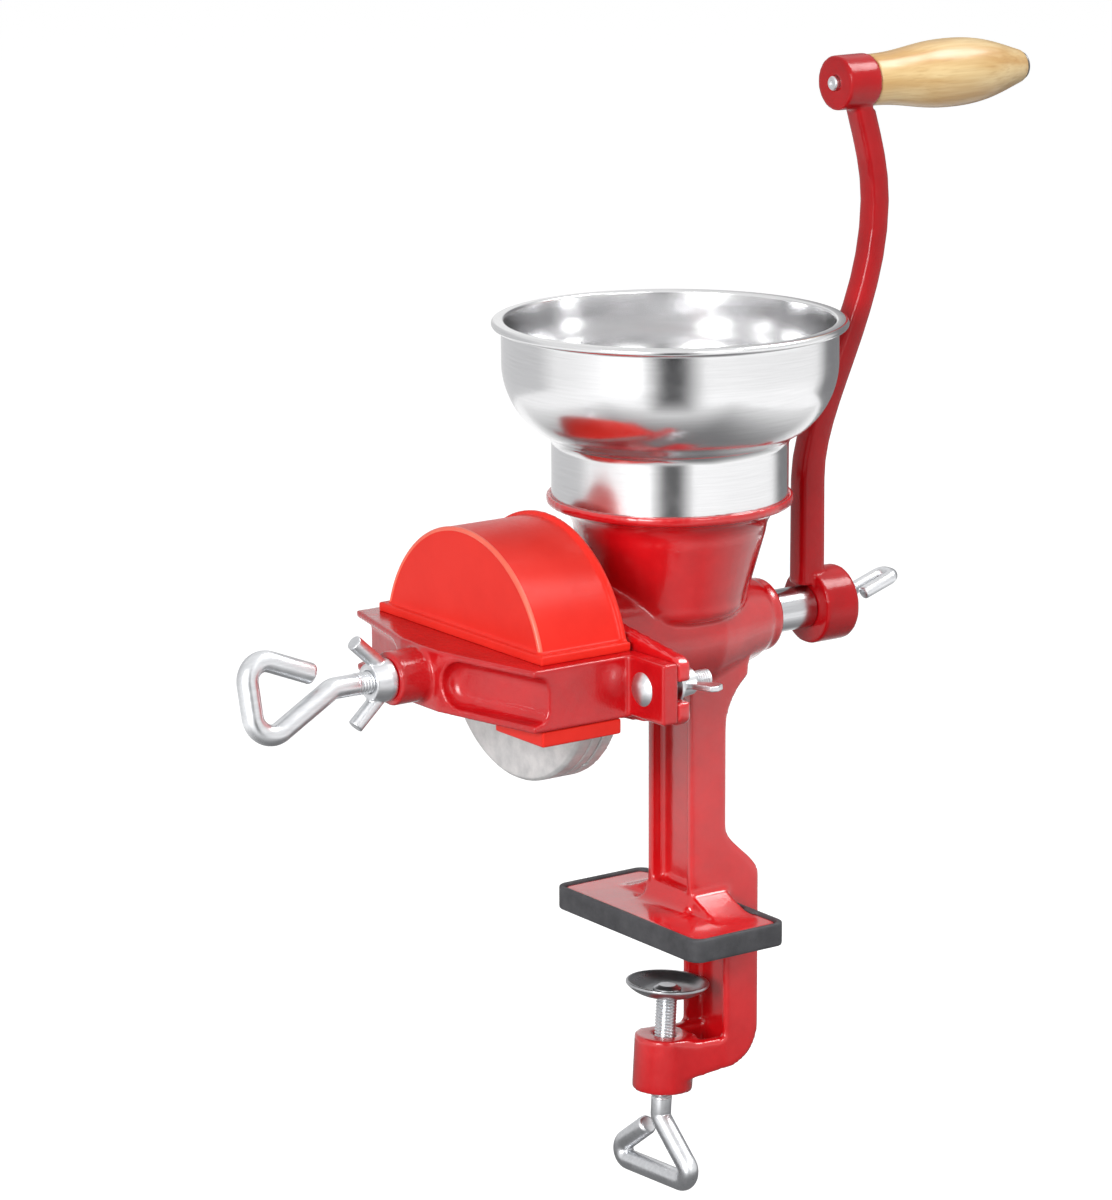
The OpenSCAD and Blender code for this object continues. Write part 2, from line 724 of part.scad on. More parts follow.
module turning_burr() {
    color(steel) difference() {
        burr(disc_y, turning_y, tip_r + 3);
        turning_screw_shape(run);
    }
}

module turning_burr_screws() {
    color(bright) turning_screw_shape(0);
}

module rotor_disc() {
    color(steel) difference() {
        turned([
            [tip_r + run, disc_nose], [disc_hub_r - 1, disc_nose], [disc_hub_r, disc_nose + 1],
            [disc_hub_r, disc_front], [burr_r - 1.5, disc_front], [burr_r, disc_front + 1.5],
            [burr_r, disc_y], [tip_r + run, disc_y]]);
        translate([-disc_hub_r - past, disc_nose - past, shaft_z - pin_r - run])
            cube([2 * (disc_hub_r + past), pin_y + pin_r + run - disc_nose + past, 2 * (pin_r + run)]);
        turning_screw_shape(run);
    }
}

module drive_pin() {
    reach = disc_hub_r - 1;
    color(bright) translate([-reach, pin_y, shaft_z]) rotate([0, 90, 0]) cylinder(r = pin_r, h = 2 * reach);
}

module thrust_ball() {
    color(bright) translate([0, ball_y, shaft_z]) sphere(ball_r);
}

// Plan of the yoke's right half, with its slanting front face
module yoke_plan() {
    both_sides()
        polygon([[0, yoke_in_y], [yoke_in_x, yoke_in_y], [yoke_in_x, flange_y], [yoke_x, flange_y],
                 [yoke_x, yoke_corner_y], [bar_x, bar_y], [0, bar_y]]);
}

// Pocket in the right front face of the yoke, open at the corner
pocket_corner = 6;
pocket_x = 3;
module yoke_pocket() {
    face = [yoke_x - bar_x, yoke_corner_y - bar_y];
    half = pocket_h / 2;
    floor = [for (i = [0:4]) [half - pocket_corner * (1 - cos(22.5 * i)), pocket_d - pocket_corner * (1 - sin(22.5 * i))]];
    translate([bar_x, bar_y, (yoke_top + yoke_foot) / 2])
        rotate([0, 0, atan2(face[1], face[0])])
            translate([pocket_x + half, 0, 0]) {
                rotate([-90, 0, 0])
                    rotate_extrude() polygon(concat([[0, -4], [half, -4]], floor, [[0, pocket_d]]));
                rotate([90, 0, 90])
                    linear_extrude(norm(face) + half)
                        polygon(concat([[-4, -half], [-4, half]], [for (p = floor) [p[1], p[0]]],
                                       [for (i = [4:-1:0]) [floor[i][1], -floor[i][0]]]));
            }
}

module yoke() {
    neck_w = 2 * (bolt_r + run);
    color(enamel) difference() {
        union() {
            translate([0, 0, yoke_foot]) linear_extrude(yoke_top - yoke_foot) yoke_plan();
            shaft_bar(nose_r, nose_y, nose_back_y);
            both_sides()
                translate([lug_x, lug_y, shaft_z - lug_h / 2])
                    cube([lug_end_x - lug_x, lug_t, lug_h]);
        }
        both_sides() yoke_pocket();
        shaft_bar(screw_r + run, nose_y - past, yoke_in_y + past);
        both_sides()
            translate([bolt_x - neck_w / 2, lug_y - past, shaft_z - neck_w / 2])
                cube([neck_w, lug_t + 2 * past, neck_w]);
    }
}

// Half of the guard's arch between two radii, above the yoke
module arch(r0, r1, y0, y1) {
    difference() {
        shaft_bar(r1, y0, y1);
        if (r0 > 0)
            shaft_bar(r0, y0 - past, y1 + past);
        translate([-2 * r1, y0 - past, yoke_top - 4 * r1])
            cube([4 * r1, y1 - y0 + 2 * past, 4 * r1]);
    }
}

// One hook: a skirt inside the yoke with a foot under its front corner
module guard_hook() {
    skirt_foot = yoke_foot - loose - hook_h;
    skirt_h = yoke_top - skirt_foot + guard_lip_h;
    translate([guard_in_r, guard_y, skirt_foot]) cube([guard_wall, hook_side_l, skirt_h]);
    translate([guard_r - hook_front_l, guard_y, skirt_foot]) cube([hook_front_l, guard_wall, skirt_h]);
    translate([guard_in_r, hook_corner_y, skirt_foot])
        cube([yoke_x - 1 - guard_in_r, guard_y + hook_side_l - hook_corner_y, hook_h]);
    translate([guard_r - hook_front_l, hook_corner_y, skirt_foot])
        cube([hook_front_l, guard_y + guard_wall - hook_corner_y, hook_h]);
}

module guard_cover() {
    color(plastic) {
        arch(guard_in_r, guard_r, guard_y, guard_back);
        arch(0, guard_r, guard_y, guard_y + guard_wall);
        arch(guard_in_r, guard_r + guard_lip * 0.8, guard_back - guard_wall, guard_back);
        difference() {
            translate([-guard_r - guard_lip, guard_y - guard_lip, yoke_top])
                cube([2 * (guard_r + guard_lip), guard_back - guard_y + guard_lip, guard_lip_h]);
            translate([-guard_in_r, guard_y + guard_wall, yoke_top - past])
                cube([2 * guard_in_r, guard_back - guard_y, guard_lip_h + 2 * past]);
        }
        both_sides() guard_hook();
    }
}

module adjusting_screw() {
    color(bright) difference() {
        union() {
            shaft_bar(screw_r, adjust_bend_y, screw_tip_y);
            translate([0, adjust_bend_y, shaft_z]) rotate([0, -adjust_loop_turn, 0]) rotate([-90, 0, 0]) rotate(-90)
                loop(adjust_loop_l, adjust_loop_half, adjust_loop_half, [adjust_loop_half * 0.36, -adjust_loop_l * 0.29],
                     loop_bend, screw_r);
        }
        translate([0, ball_y, shaft_z]) sphere(ball_r + run);
    }
}

lock_wing_r = 3.5;
module lock_nut() {
    base_y = nose_y - air;
    front_y = base_y - nut_room;
    color(bright) difference() {
        union() {
            turned([[0, base_y], [nose_r - 2.5, base_y], [nose_r - 2.5, base_y - 3], [screw_r + 3, front_y], [0, front_y]]);
            for (s = [-1, 1])
                bar([0, base_y - 4, shaft_z + s * (screw_r + 2)],
                    [0, front_y - 7, shaft_z + s * (screw_r + 14)], lock_wing_r);
        }
        shaft_bar(screw_r + run, front_y - 2 * nut_room, base_y + past);
    }
}

ear_back = flange_y + flange_t;
washer_y = ear_back + rest_gap;
nut_y = washer_y + washer_t + rest_gap;
bolt_end = nut_y + nut_l + bolt_spare;

module yoke_bolts() {
    head_h = bolt_head_r * 0.45;
    sphere_r = (bolt_head_r * bolt_head_r + head_h * head_h) / (2 * head_h);
    dome = [for (i = [0:6]) let (r = bolt_head_r * i / 6)
        [r, lug_y - head_h + sphere_r - sqrt(sphere_r * sphere_r - r * r)]];
    color(bright)
        for (s = [-1, 1])
            translate([s * bolt_x, 0, 0]) {
                turned(concat(dome, [[0, lug_y]]));
                shaft_bar(bolt_r, lug_y - 0.5, bolt_end);
                translate([-bolt_r, lug_y - 0.5, shaft_z - bolt_r]) cube([2 * bolt_r, lug_t, 2 * bolt_r]);
            }
}

module washer(s) {
    color(bright) translate([s * bolt_x, 0, 0])
        difference() {
            shaft_bar(washer_r, washer_y, washer_y + washer_t);
            shaft_bar(bolt_r + run, washer_y - past, washer_y + washer_t + past);
        }
}
module washer_left() washer(-1);
module washer_right() washer(1);

// Wing nut with its wings along X, swept away from the ear
wing_t = 2.6;
module wing_nut(s) {
    wing = [[nut_r - 2, 1.5], [nut_r + 2, 3], [wing_reach - 1, nut_l - 2], [wing_reach, nut_l + 1],
            [wing_reach - 2, nut_l + 5], [wing_reach - 5, nut_l + 5.5], [nut_r - 1, nut_l - 1]];
    color(bright) translate([s * bolt_x, nut_y, shaft_z])
        difference() {
            union() {
                rotate([-90, 0, 0]) cylinder(r1 = nut_r, r2 = nut_r - 1, h = nut_l);
                both_sides()
                    translate([0, 0, -wing_t / 2]) linear_extrude(wing_t) polygon(wing);
            }
            translate([0, -past, 0]) rotate([-90, 0, 0]) cylinder(r = bolt_r + run, h = nut_l + 2 * past + 6);
        }
}
module wing_nut_left() wing_nut(-1);
module wing_nut_right() wing_nut(1);

// Blunts a sine or a cosine, so that a round section fills out toward a square
function blunt(v) = sign(v) * pow(abs(v), 0.55);

// The crank's arm follows a line in Y and height above the shaft
module crank_arm() {
    low = [arm_root_y, crank_r * 0.25];
    out = [arm_out_y, crank_r * 0.77];
    tip = [arm_tip_y, crank_r];
    swell = [low, low + [0, crank_r * 0.15], out - [0, crank_r * 0.22], out];
    lean = [out, out + [0, crank_r * 0.09], tip - [-2, crank_r * 0.06], tip];
    line = concat([[arm_root_y, hub_r - arm_proud]], [for (i = [0:12]) cubic(swell, i / 12)], [for (i = [1:6]) cubic(lean, i / 6)]);
    section = [for (k = [0:15]) [crank_t * blunt(cos(22.5 * k)) / 2, crank_w * blunt(sin(22.5 * k)) / 2]];
    thin = [crank_tip_t / crank_t, 0.93];
    color(enamel) difference() {
        union() {
            translate([0, 0, shaft_z]) rotate(90) bent_bar(line, section, thin);
            shaft_bar(hub_r, hub_y, hub_back);
            translate([0, 0, crank_r]) shaft_bar(boss_r, boss_y, boss_back_y + past);
        }
        translate([-square_w / 2 - run, hub_y - past, shaft_z - square_w / 2 - run])
            cube([square_w + 2 * run, past + square_l + air, square_w + 2 * run]);
        shaft_bar(crank_screw_r + loose, hub_y, hub_back + past);
        translate([0, 0, crank_r]) {
            shaft_bar(boss_r + past, boss_back_y, boss_back_y + crank_t);
            shaft_bar(spindle_tip_r + run, boss_y - past, boss_back_y + past);
        }
    }
}

// Thumb screw that holds the crank on the square, with its eye bent upward
module crank_screw() {
    shoulder_y = hub_back + rest_gap;
    shoulder = 2.5;
    bend_y = shoulder_y + shoulder + 1.5;
    color(bright) {
        shaft_bar(crank_screw_r, hub_y + 4, bend_y);
        shaft_bar(crank_screw_r + 3, shoulder_y, shoulder_y + shoulder);
        translate([0, bend_y, shaft_z]) rotate([eye_tilt, 0, 0]) rotate([90, 0, 0])
            wire(rounded([[0, crank_wire_r], [0, -crank_wire_r], [-eye_half, -eye_l * 0.35], [-eye_half, -eye_l],
                          [eye_half, -eye_l], [eye_half, -eye_l * 0.3]], eye_bend), crank_wire_r - 0.1);
    }
}

module handle_spindle() {
    head_h = 2.5;
    tip_l = 1.8;
    shoulder_y = boss_back_y + rest_gap;
    color(bright) translate([0, 0, crank_r]) turned([
        [0, boss_y - tip_l], [spindle_tip_r - 0.6, boss_y - tip_l], [spindle_tip_r, boss_y - tip_l + 0.6],
        [spindle_tip_r, shoulder_y], [spindle_r, shoulder_y], [spindle_r, grip_back + air],
        [spindle_head_r, grip_back + air], [spindle_head_r, grip_back + air + 1],
        [spindle_head_r * 0.6, grip_back + air + head_h], [0, grip_back + air + head_h]]);
}

// Outline of the grip: a slim neck, a swell and a round end
module handle_grip() {
    swell = [[grip_neck_r, 0], [grip_neck_r, 0.24], [grip_r, 0.3], [grip_r, 0.53]];
    taper = [[grip_r, 0.53], [grip_r, 0.74], [grip_end_r + 4.5, 0.84], [grip_end_r, 1]];
    side = concat([for (i = [0:10]) cubic(swell, i / 10)], [for (i = [1:8]) cubic(taper, i / 8)]);
    hole_r = spindle_r + run;
    color(wood) translate([0, 0, crank_r])
        turned(concat([[hole_r, grip_y]], [for (p = side) [p[0], grip_y + p[1] * grip_l]], [[hole_r, grip_back]]));
}

module clamp_cup() {
    hub_r = screw_r + 2.2;
    skin = 2;
    hole_r = neck_pin_r + run;
    color(steel) on_clamp() upright([
        [hole_r, cup_foot], [hub_r, cup_foot], [cup_r * 0.62, cup_foot + 0.8], [cup_r, cup_z - skin], [cup_r, cup_z],
        [cup_r - 1.2, cup_z], [cup_r * 0.62, cup_floor + 0.6], [cup_r * 0.45, cup_floor], [hole_r, cup_floor]]);
}

module clamp_screw() {
    head_r = neck_pin_r + 2.6;
    head_z = cup_floor + 0.1;
    color(bright) on_clamp() {
        upright([[0, clamp_bend_z], [screw_r, clamp_bend_z], [screw_r, cup_foot - 0.1], [neck_pin_r, cup_foot - 0.1],
                 [neck_pin_r, head_z], [head_r, head_z], [head_r, head_z + 0.8], [head_r * 0.6, head_z + 2.2],
                 [0, head_z + 2.2]]);
        translate([0, 0, clamp_bend_z]) rotate(180 + clamp_loop_turn)
            loop(clamp_loop_l, clamp_loop_half, clamp_loop_far, [clamp_loop_far * 0.24, -clamp_loop_l * 0.34],
                 clamp_loop_bend, screw_r);
    }
}

mill_body();
rest_pad();
hopper();
auger();
fixed_burr();
fixed_burr_screws();
turning_burr();
turning_burr_screws();
rotor_disc();
drive_pin();
thrust_ball();
yoke();
guard_cover();
adjusting_screw();
lock_nut();
yoke_bolts();
washer_left();
washer_right();
wing_nut_left();
wing_nut_right();
crank_arm();
crank_screw();
handle_spindle();
handle_grip();
clamp_cup();
clamp_screw();
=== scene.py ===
"""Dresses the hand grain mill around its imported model.

The castings get soft edges and red enamel, the hopper is turned from bright steel, the bent screws get their
threads, and the crank gets its wooden grip. Sizes are in metres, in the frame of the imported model: the shaft runs
along Y with the crank at +Y, Z is up, and the table top lies at Z = 0.
"""

from __future__ import annotations

import json
import logging
import math
from abc import ABC, abstractmethod
from dataclasses import dataclass, replace
from enum import Enum
from typing import Any, Iterable, Sequence

import bmesh
import bpy
from mathutils import Matrix, Quaternion, Vector

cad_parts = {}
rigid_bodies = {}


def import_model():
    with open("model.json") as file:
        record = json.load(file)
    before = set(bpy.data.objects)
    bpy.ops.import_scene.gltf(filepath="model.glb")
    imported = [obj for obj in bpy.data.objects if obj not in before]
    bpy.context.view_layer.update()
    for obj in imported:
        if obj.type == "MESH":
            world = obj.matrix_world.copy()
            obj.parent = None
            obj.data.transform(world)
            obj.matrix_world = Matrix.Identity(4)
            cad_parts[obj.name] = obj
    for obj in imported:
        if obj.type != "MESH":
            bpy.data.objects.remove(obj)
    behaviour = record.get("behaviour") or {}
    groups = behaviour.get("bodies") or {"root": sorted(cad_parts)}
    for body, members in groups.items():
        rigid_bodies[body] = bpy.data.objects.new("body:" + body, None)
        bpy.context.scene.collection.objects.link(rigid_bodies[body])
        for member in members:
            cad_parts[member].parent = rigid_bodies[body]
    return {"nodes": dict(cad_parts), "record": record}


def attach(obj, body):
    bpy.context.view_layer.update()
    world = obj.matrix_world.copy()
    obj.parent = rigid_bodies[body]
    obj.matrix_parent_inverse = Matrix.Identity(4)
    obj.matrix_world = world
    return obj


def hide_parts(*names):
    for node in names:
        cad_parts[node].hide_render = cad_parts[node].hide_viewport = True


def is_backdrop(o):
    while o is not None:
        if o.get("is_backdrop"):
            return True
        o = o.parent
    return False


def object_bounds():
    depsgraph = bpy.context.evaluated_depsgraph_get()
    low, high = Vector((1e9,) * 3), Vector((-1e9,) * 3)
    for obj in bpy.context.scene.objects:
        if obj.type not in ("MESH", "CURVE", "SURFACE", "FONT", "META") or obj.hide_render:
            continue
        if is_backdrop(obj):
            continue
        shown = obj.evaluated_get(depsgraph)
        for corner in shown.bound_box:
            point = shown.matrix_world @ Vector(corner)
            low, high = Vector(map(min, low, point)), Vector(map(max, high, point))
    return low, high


LOG = logging.getLogger("grain_mill")
MM = 0.001
SHAFT_Z = 0.140
SHAFT = Matrix.Translation((0, 0, SHAFT_Z)) @ Matrix.Rotation(math.radians(-90), 4, "X")
UPRIGHT = Matrix.Identity(4)
RUNNING_GAP = 0.08 * MM
RESTING_GAP = 0.1 * MM
STRAIGHT = math.radians(89.5)
Colour = tuple[float, float, float, float]
Place = tuple[float, float, float]
Point = tuple[float, float]
Profile = Sequence[Point]
# Slots of the finishes that have another name than their slot
SLOTS = {"rough_enamel": "red_enamel", "painted_shade_enamel": "red_enamel", "painted_highlight_plastic": "red_plastic"}
SLOTS |= dict.fromkeys(("ground_steel", "zinc", "cup_steel", "dark_steel"), "zinc_steel")


def srgb(red: int, green: int, blue: int) -> Colour:
    """Turns a colour as seen on a screen into linear light.

    Args:
        red: Red from 0 to 255.
        green: Green from 0 to 255.
        blue: Blue from 0 to 255.

    Returns:
        The linear colour with full alpha.
    """
    parts = [c / 255 for c in (red, green, blue)]
    linear = [c / 12.92 if c <= 0.04045 else ((c + 0.055) / 1.055) ** 2.4 for c in parts]
    return (linear[0], linear[1], linear[2], 1.0)


# Shapes


def rounded(points: Sequence[Vector], radius: float, steps: int = 8) -> list[Vector]:
    """Rounds every inner corner of a line of points.

    Args:
        points: Corner points, in two or three dimensions.
        radius: Bend radius at each corner.
        steps: Steps of each bend.

    Returns:
        The points of the rounded line.
    """
    line = [points[0].copy()]
    for before, corner, after in zip(points, points[1:], points[2:]):
        to_before, to_after = before - corner, after - corner
        half = to_before.angle(to_after) / 2
        if half > STRAIGHT:
            line.append(corner.copy())
            continue
        room = 0.499 * min(to_before.length, to_after.length)
        reach = min(radius / math.tan(half), room)
        bend = reach * math.tan(half)
        centre = corner + (to_before.normalized() + to_after.normalized()).normalized() * bend / math.sin(half)
        start = corner + to_before.normalized() * reach - centre
        end = corner + to_after.normalized() * reach - centre
        swing = math.pi - 2 * half
        for i in range(steps + 1):
            share = i / steps
            spoke = start * math.sin((1 - share) * swing) + end * math.sin(share * swing)
            line.append(centre + spoke / math.sin(swing))
    line.append(points[-1].copy())
    return line


def soft_profile(corners: Profile, radius: float, steps: int = 4) -> list[Point]:
    """Rounds the corners of a turned profile.

    Args:
        corners: Corners as radius and height.
        radius: Radius of every corner.
        steps: Steps of each corner.

    Returns:
        The rounded profile.
    """
    return [(p.x, p.y) for p in rounded([Vector(c) for c in corners], radius, steps)]


def arc(centre: Point, radius: float, start: float, end: float, steps: int) -> list[Point]:
    """Points on a circular arc.

    Args:
        centre: Centre of the arc.
        radius: Radius of the arc.
        start: First angle, in degrees.
        end: Last angle, in degrees.
        steps: Steps along the arc.

    Returns:
        The points, both ends included.
    """
    angles = [math.radians(start + (end - start) * i / steps) for i in range(steps + 1)]
    return [(centre[0] + radius * math.cos(a), centre[1] + radius * math.sin(a)) for a in angles]


def cubic(points: Profile, steps: int) -> list[Point]:
    """Points on a cubic curve.

    Args:
        points: The four control points.
        steps: Steps along the curve.

    Returns:
        The points, both ends included.
    """
    line = []
    for i in range(steps + 1):
        t = i / steps
        weights = ((1 - t) ** 3, 3 * t * (1 - t) ** 2, 3 * t * t * (1 - t), t**3)
        line.append(tuple(sum(w * p[k] for w, p in zip(weights, points)) for k in (0, 1)))
    return line


class Shell:
    """Collects the faces of one piece and makes its object."""

    def __init__(self) -> None:
        """Starts with no faces."""
        self.verts: list[Vector] = []
        self.faces: list[tuple[int, ...]] = []

    def ring(self, points: Iterable[Vector]) -> list[int]:
        """Adds a ring of points.

        Args:
            points: The points, in order.

        Returns:
            Their numbers.
        """
        start = len(self.verts)
        self.verts.extend(points)
        return list(range(start, len(self.verts)))

    def skin(self, rings: list[list[int]], closed: bool = False) -> None:
        """Joins each ring to the next with faces, where a ring of one point is a tip.

        Args:
            rings: Numbers of the points of each ring.
            closed: Whether the last ring joins the first.
        """
        for low, high in zip(rings, rings[1:] + rings[:1] if closed else rings[1:]):
            count = max(len(low), len(high))
            for k in range(count):
                n = (k + 1) % count
                if len(low) == 1:
                    self.faces.append((low[0], high[n], high[k]))
                elif len(high) == 1:
                    self.faces.append((low[k], low[n], high[0]))
                else:
                    self.faces.append((low[k], low[n], high[n], high[k]))

    def bar(self, rings: list[list[int]]) -> None:
        """Joins rings to a bar with flat ends."""
        self.skin(rings)
        self.faces.extend((tuple(reversed(rings[0])), tuple(rings[-1])))

    def square_bar(self, place: Matrix, width: float, start: float, end: float) -> None:
        """Adds a square bar along the Z axis of a place.

        Args:
            place: Where the axis lies.
            width: Width across the flats.
            start: Height of the first end.
            end: Height of the last end.
        """
        half = width / 2
        corners = [(half, half), (-half, half), (-half, -half), (half, -half)]
        self.bar([self.ring(place @ Vector((x, y, z)) for x, y in corners) for z in (start, end)])

    def lathe(self, profile: Profile, place: Matrix, sides: int = 96, closed: bool = False) -> Shell:
        """Turns a profile about the Z axis of a place.

        Args:
            profile: Radius and height of each ring, in order.
            place: Where the axis and the zero height lie.
            sides: Points around each ring.
            closed: Whether the last ring joins the first.

        Returns:
            This shell.
        """
        rings = []
        for radius, height in profile:
            turns = [2 * math.pi * k / sides for k in range(sides)] if radius > 1e-7 else [0.0]
            spots = (Vector((radius * math.cos(a), radius * math.sin(a), height)) for a in turns)
            rings.append(self.ring(place @ spot for spot in spots))
        self.skin(rings, closed)
        return self

    def thread(self, start: float, end: float, radius: float, place: Matrix, pitch: float, sides: int = 40) -> Shell:
        """Adds a threaded bar along the Z axis of a place, with both ends closed.

        Args:
            start: Height of the first turn.
            end: Height of the last turn.
            radius: Outer radius of the thread.
            place: Where the axis lies.
            pitch: Distance from turn to turn.
            sides: Points around the bar.

        Returns:
            This shell.
        """
        depth, flank, rows_per_turn = 0.5 * pitch, 0.38, 8
        rows = max(2, int((end - start) / pitch * rows_per_turn))
        rings = [self.ring([place @ Vector((0, 0, start))])]
        for i in range(rows + 1):
            height = start + (end - start) * i / rows
            spots = []
            for k in range(sides):
                phase = (height / pitch - k / sides) % 1.0
                groove = max(0.0, 1 - abs(phase - 0.5) / flank)
                turn = 2 * math.pi * k / sides
                here = radius - depth * groove * min(1.0, i / rows_per_turn, (rows - i) / rows_per_turn)
                spots.append(place @ Vector((here * math.cos(turn), here * math.sin(turn), height)))
            rings.append(self.ring(spots))
        rings.append(self.ring([place @ Vector((0, 0, end))]))
        self.skin(rings)
        return self

    def tube(self, path: Sequence[Vector], radius: float, sides: int = 28) -> Shell:
        """Bends a round bar with soft ends along a path.

        Args:
            path: Points of the centre line.
            radius: Radius of the bar.
            sides: Points around the bar.

        Returns:
            This shell.
        """
        heads = [(b - a).normalized() for a, b in zip(path, path[1:])]
        heads = [heads[0]] + [(a + b).normalized() for a, b in zip(heads, heads[1:])] + [heads[-1]]
        side = heads[0].orthogonal().normalized()
        stops = []
        for i, (point, head) in enumerate(zip(path, heads)):
            if i:
                side = (heads[i - 1].rotation_difference(head) @ side).normalized()
            stops.append((point, head, side.copy(), radius))
        soft = 0.35 * radius
        first, last = stops[0], stops[-1]
        slopes = [(soft * (1 - math.cos(a)), radius - soft * (1 - math.sin(a)))
                  for a in (math.radians(d) for d in (0, 20, 45, 70, 90))]
        front = [(first[0] + first[1] * inset, first[1], first[2], here) for inset, here in slopes]
        back = [(last[0] - last[1] * inset, last[1], last[2], here) for inset, here in reversed(slopes)]
        rings = [self.ring([first[0]])]
        for point, head, across, here in front + stops[1:-1] + back:
            up = head.cross(across)
            turns = [2 * math.pi * k / sides for k in range(sides)]
            rings.append(self.ring(point + (across * math.cos(a) + up * math.sin(a)) * here for a in turns))
        rings.append(self.ring([last[0]]))
        self.skin(rings)
        return self

    def make(self, name: str, sharp: float = 40.0) -> bpy.types.Object:
        """Makes the object, smooth except along sharp edges.

        Args:
            name: Name of the piece.
            sharp: Angle above which an edge stays sharp, in degrees.

        Returns:
            The new object.
        """
        mesh = bpy.data.meshes.new(name)
        mesh.from_pydata(self.verts, [], self.faces)
        shape = bmesh.new()
        shape.from_mesh(mesh)
        bmesh.ops.recalc_face_normals(shape, faces=shape.faces)
        shape.to_mesh(mesh)
        shape.free()
        mesh.shade_smooth()
        mesh.set_sharp_from_angle(angle=math.radians(sharp))
        return link(name, mesh)


def link(name: str, mesh: bpy.types.Mesh) -> bpy.types.Object:
    """Puts a mesh in the scene.

    Args:
        name: Name of the new object.
        mesh: The mesh.

    Returns:
        The new object.
    """
    piece = bpy.data.objects.new(name, mesh)
    bpy.context.scene.collection.objects.link(piece)
    return piece


# Finishes


class Tree:
    """A short way to add and join nodes in one node tree."""

    def __init__(self, tree: bpy.types.NodeTree) -> None:
        """Keeps the tree that nodes are added to."""
        self.tree = tree

    def feed(self, socket: bpy.types.NodeSocket, value: Any) -> None:
        """Links a socket to another one, or sets its value.

        Args:
            socket: The input to feed.
            value: An output to link, or a plain value.
        """
        if isinstance(value, bpy.types.NodeSocket):
            self.tree.links.new(value, socket)
        else:
            socket.default_value = value

    def add(self, kind: str, inputs: dict[str | int, Any] | None = None, **settings: Any) -> bpy.types.Node:
        """Adds a node.

        Args:
            kind: The node's type.
            inputs: Values or sockets for its inputs.
            settings: Properties of the node.

        Returns:
            The new node.
        """
        node = self.tree.nodes.new(kind)
        for name, value in settings.items():
            setattr(node, name, value)
        for name, value in (inputs or {}).items():
            self.feed(node.inputs[name], value)
        return node

    def math(self, operation: str, first: Any, second: Any = 0.0) -> bpy.types.NodeSocket:
        """Adds a math node and returns its result."""
        return self.add("ShaderNodeMath", {0: first, 1: second}, operation=operation).outputs[0]

    def noise(self, spot: Any, scale: Any, detail: float, rough: float = 0.5) -> bpy.types.NodeSocket:
        """Adds a noise and returns its value."""
        inputs = {"Vector": spot, "Scale": scale, "Detail": detail, "Roughness": rough}
        return self.add("ShaderNodeTexNoise", inputs).outputs[0]

    def remap(self, value: Any, low: float, high: float, to_low: Any, to_high: Any) -> bpy.types.NodeSocket:
        """Takes a value from one range to another and returns the result."""
        inputs = {"Value": value, "From Min": low, "From Max": high, "To Min": to_low, "To Max": to_high}
        return self.add("ShaderNodeMapRange", inputs).outputs[0]

    def mix(self, share: Any, first: Any, second: Any) -> bpy.types.NodeSocket:
        """Adds a colour mix and returns its result."""
        return self.add("ShaderNodeMix", {"Factor": share, 6: first, 7: second}, data_type="RGBA").outputs[2]


class Effect(Enum):
    """Node groups that several finishes share, each built once."""

    MOTTLE = "mottle"
    CAST_SKIN = "cast_skin"
    STREAKS = "streaks"


def new_group(effect: Effect, inputs: dict[str, float], outputs: Sequence[str]) -> tuple[Tree, Any, Any]:
    """Starts a node group with number sockets.

    Args:
        effect: Which effect the group holds.
        inputs: Names of its inputs with their usual values.
        outputs: Names of its outputs.

    Returns:
        The tree, the sockets of its inputs and those of its outputs.
    """
    group = bpy.data.node_groups.new(effect.value, "ShaderNodeTree")
    for name, value in inputs.items():
        group.interface.new_socket(name, in_out="INPUT", socket_type="NodeSocketFloat").default_value = value
    for name in outputs:
        group.interface.new_socket(name, in_out="OUTPUT", socket_type="NodeSocketFloat")
    tree = Tree(group)
    return tree, tree.add("NodeGroupInput").outputs, tree.add("NodeGroupOutput").inputs


def build_mottle() -> bpy.types.NodeTree:
    """Builds soft clouds between two values.

    Returns:
        The group, with the outputs Mask and Value.
    """
    tree, given, out = new_group(Effect.MOTTLE, {"Scale": 60.0, "Low": 0.0, "High": 1.0}, ("Mask", "Value"))
    spot = tree.add("ShaderNodeTexCoord").outputs["Object"]
    mask = tree.remap(tree.noise(spot, given["Scale"], 4.0, 0.6), 0.34, 0.66, 0.0, 1.0)
    tree.feed(out["Mask"], mask)
    tree.feed(out["Value"], tree.remap(mask, 0.0, 1.0, given["Low"], given["High"]))
    return tree.tree


def build_cast_skin() -> bpy.types.NodeTree:
    """Builds the height of a cast surface: sand grain and slow ripples.

    Returns:
        The group, with the output Height.
    """
    tree, given, out = new_group(Effect.CAST_SKIN, {"Grain": 0.3, "Ripple": 1.0, "Grain Scale": 900.0}, ("Height",))
    spot = tree.add("ShaderNodeTexCoord").outputs["Object"]
    fine = tree.math("MULTIPLY", tree.noise(spot, given["Grain Scale"], 3.0), given["Grain"])
    slow = tree.math("MULTIPLY", tree.noise(spot, 95.0, 2.0, 0.4), given["Ripple"])
    tree.feed(out["Height"], tree.math("ADD", fine, slow))
    return tree.tree


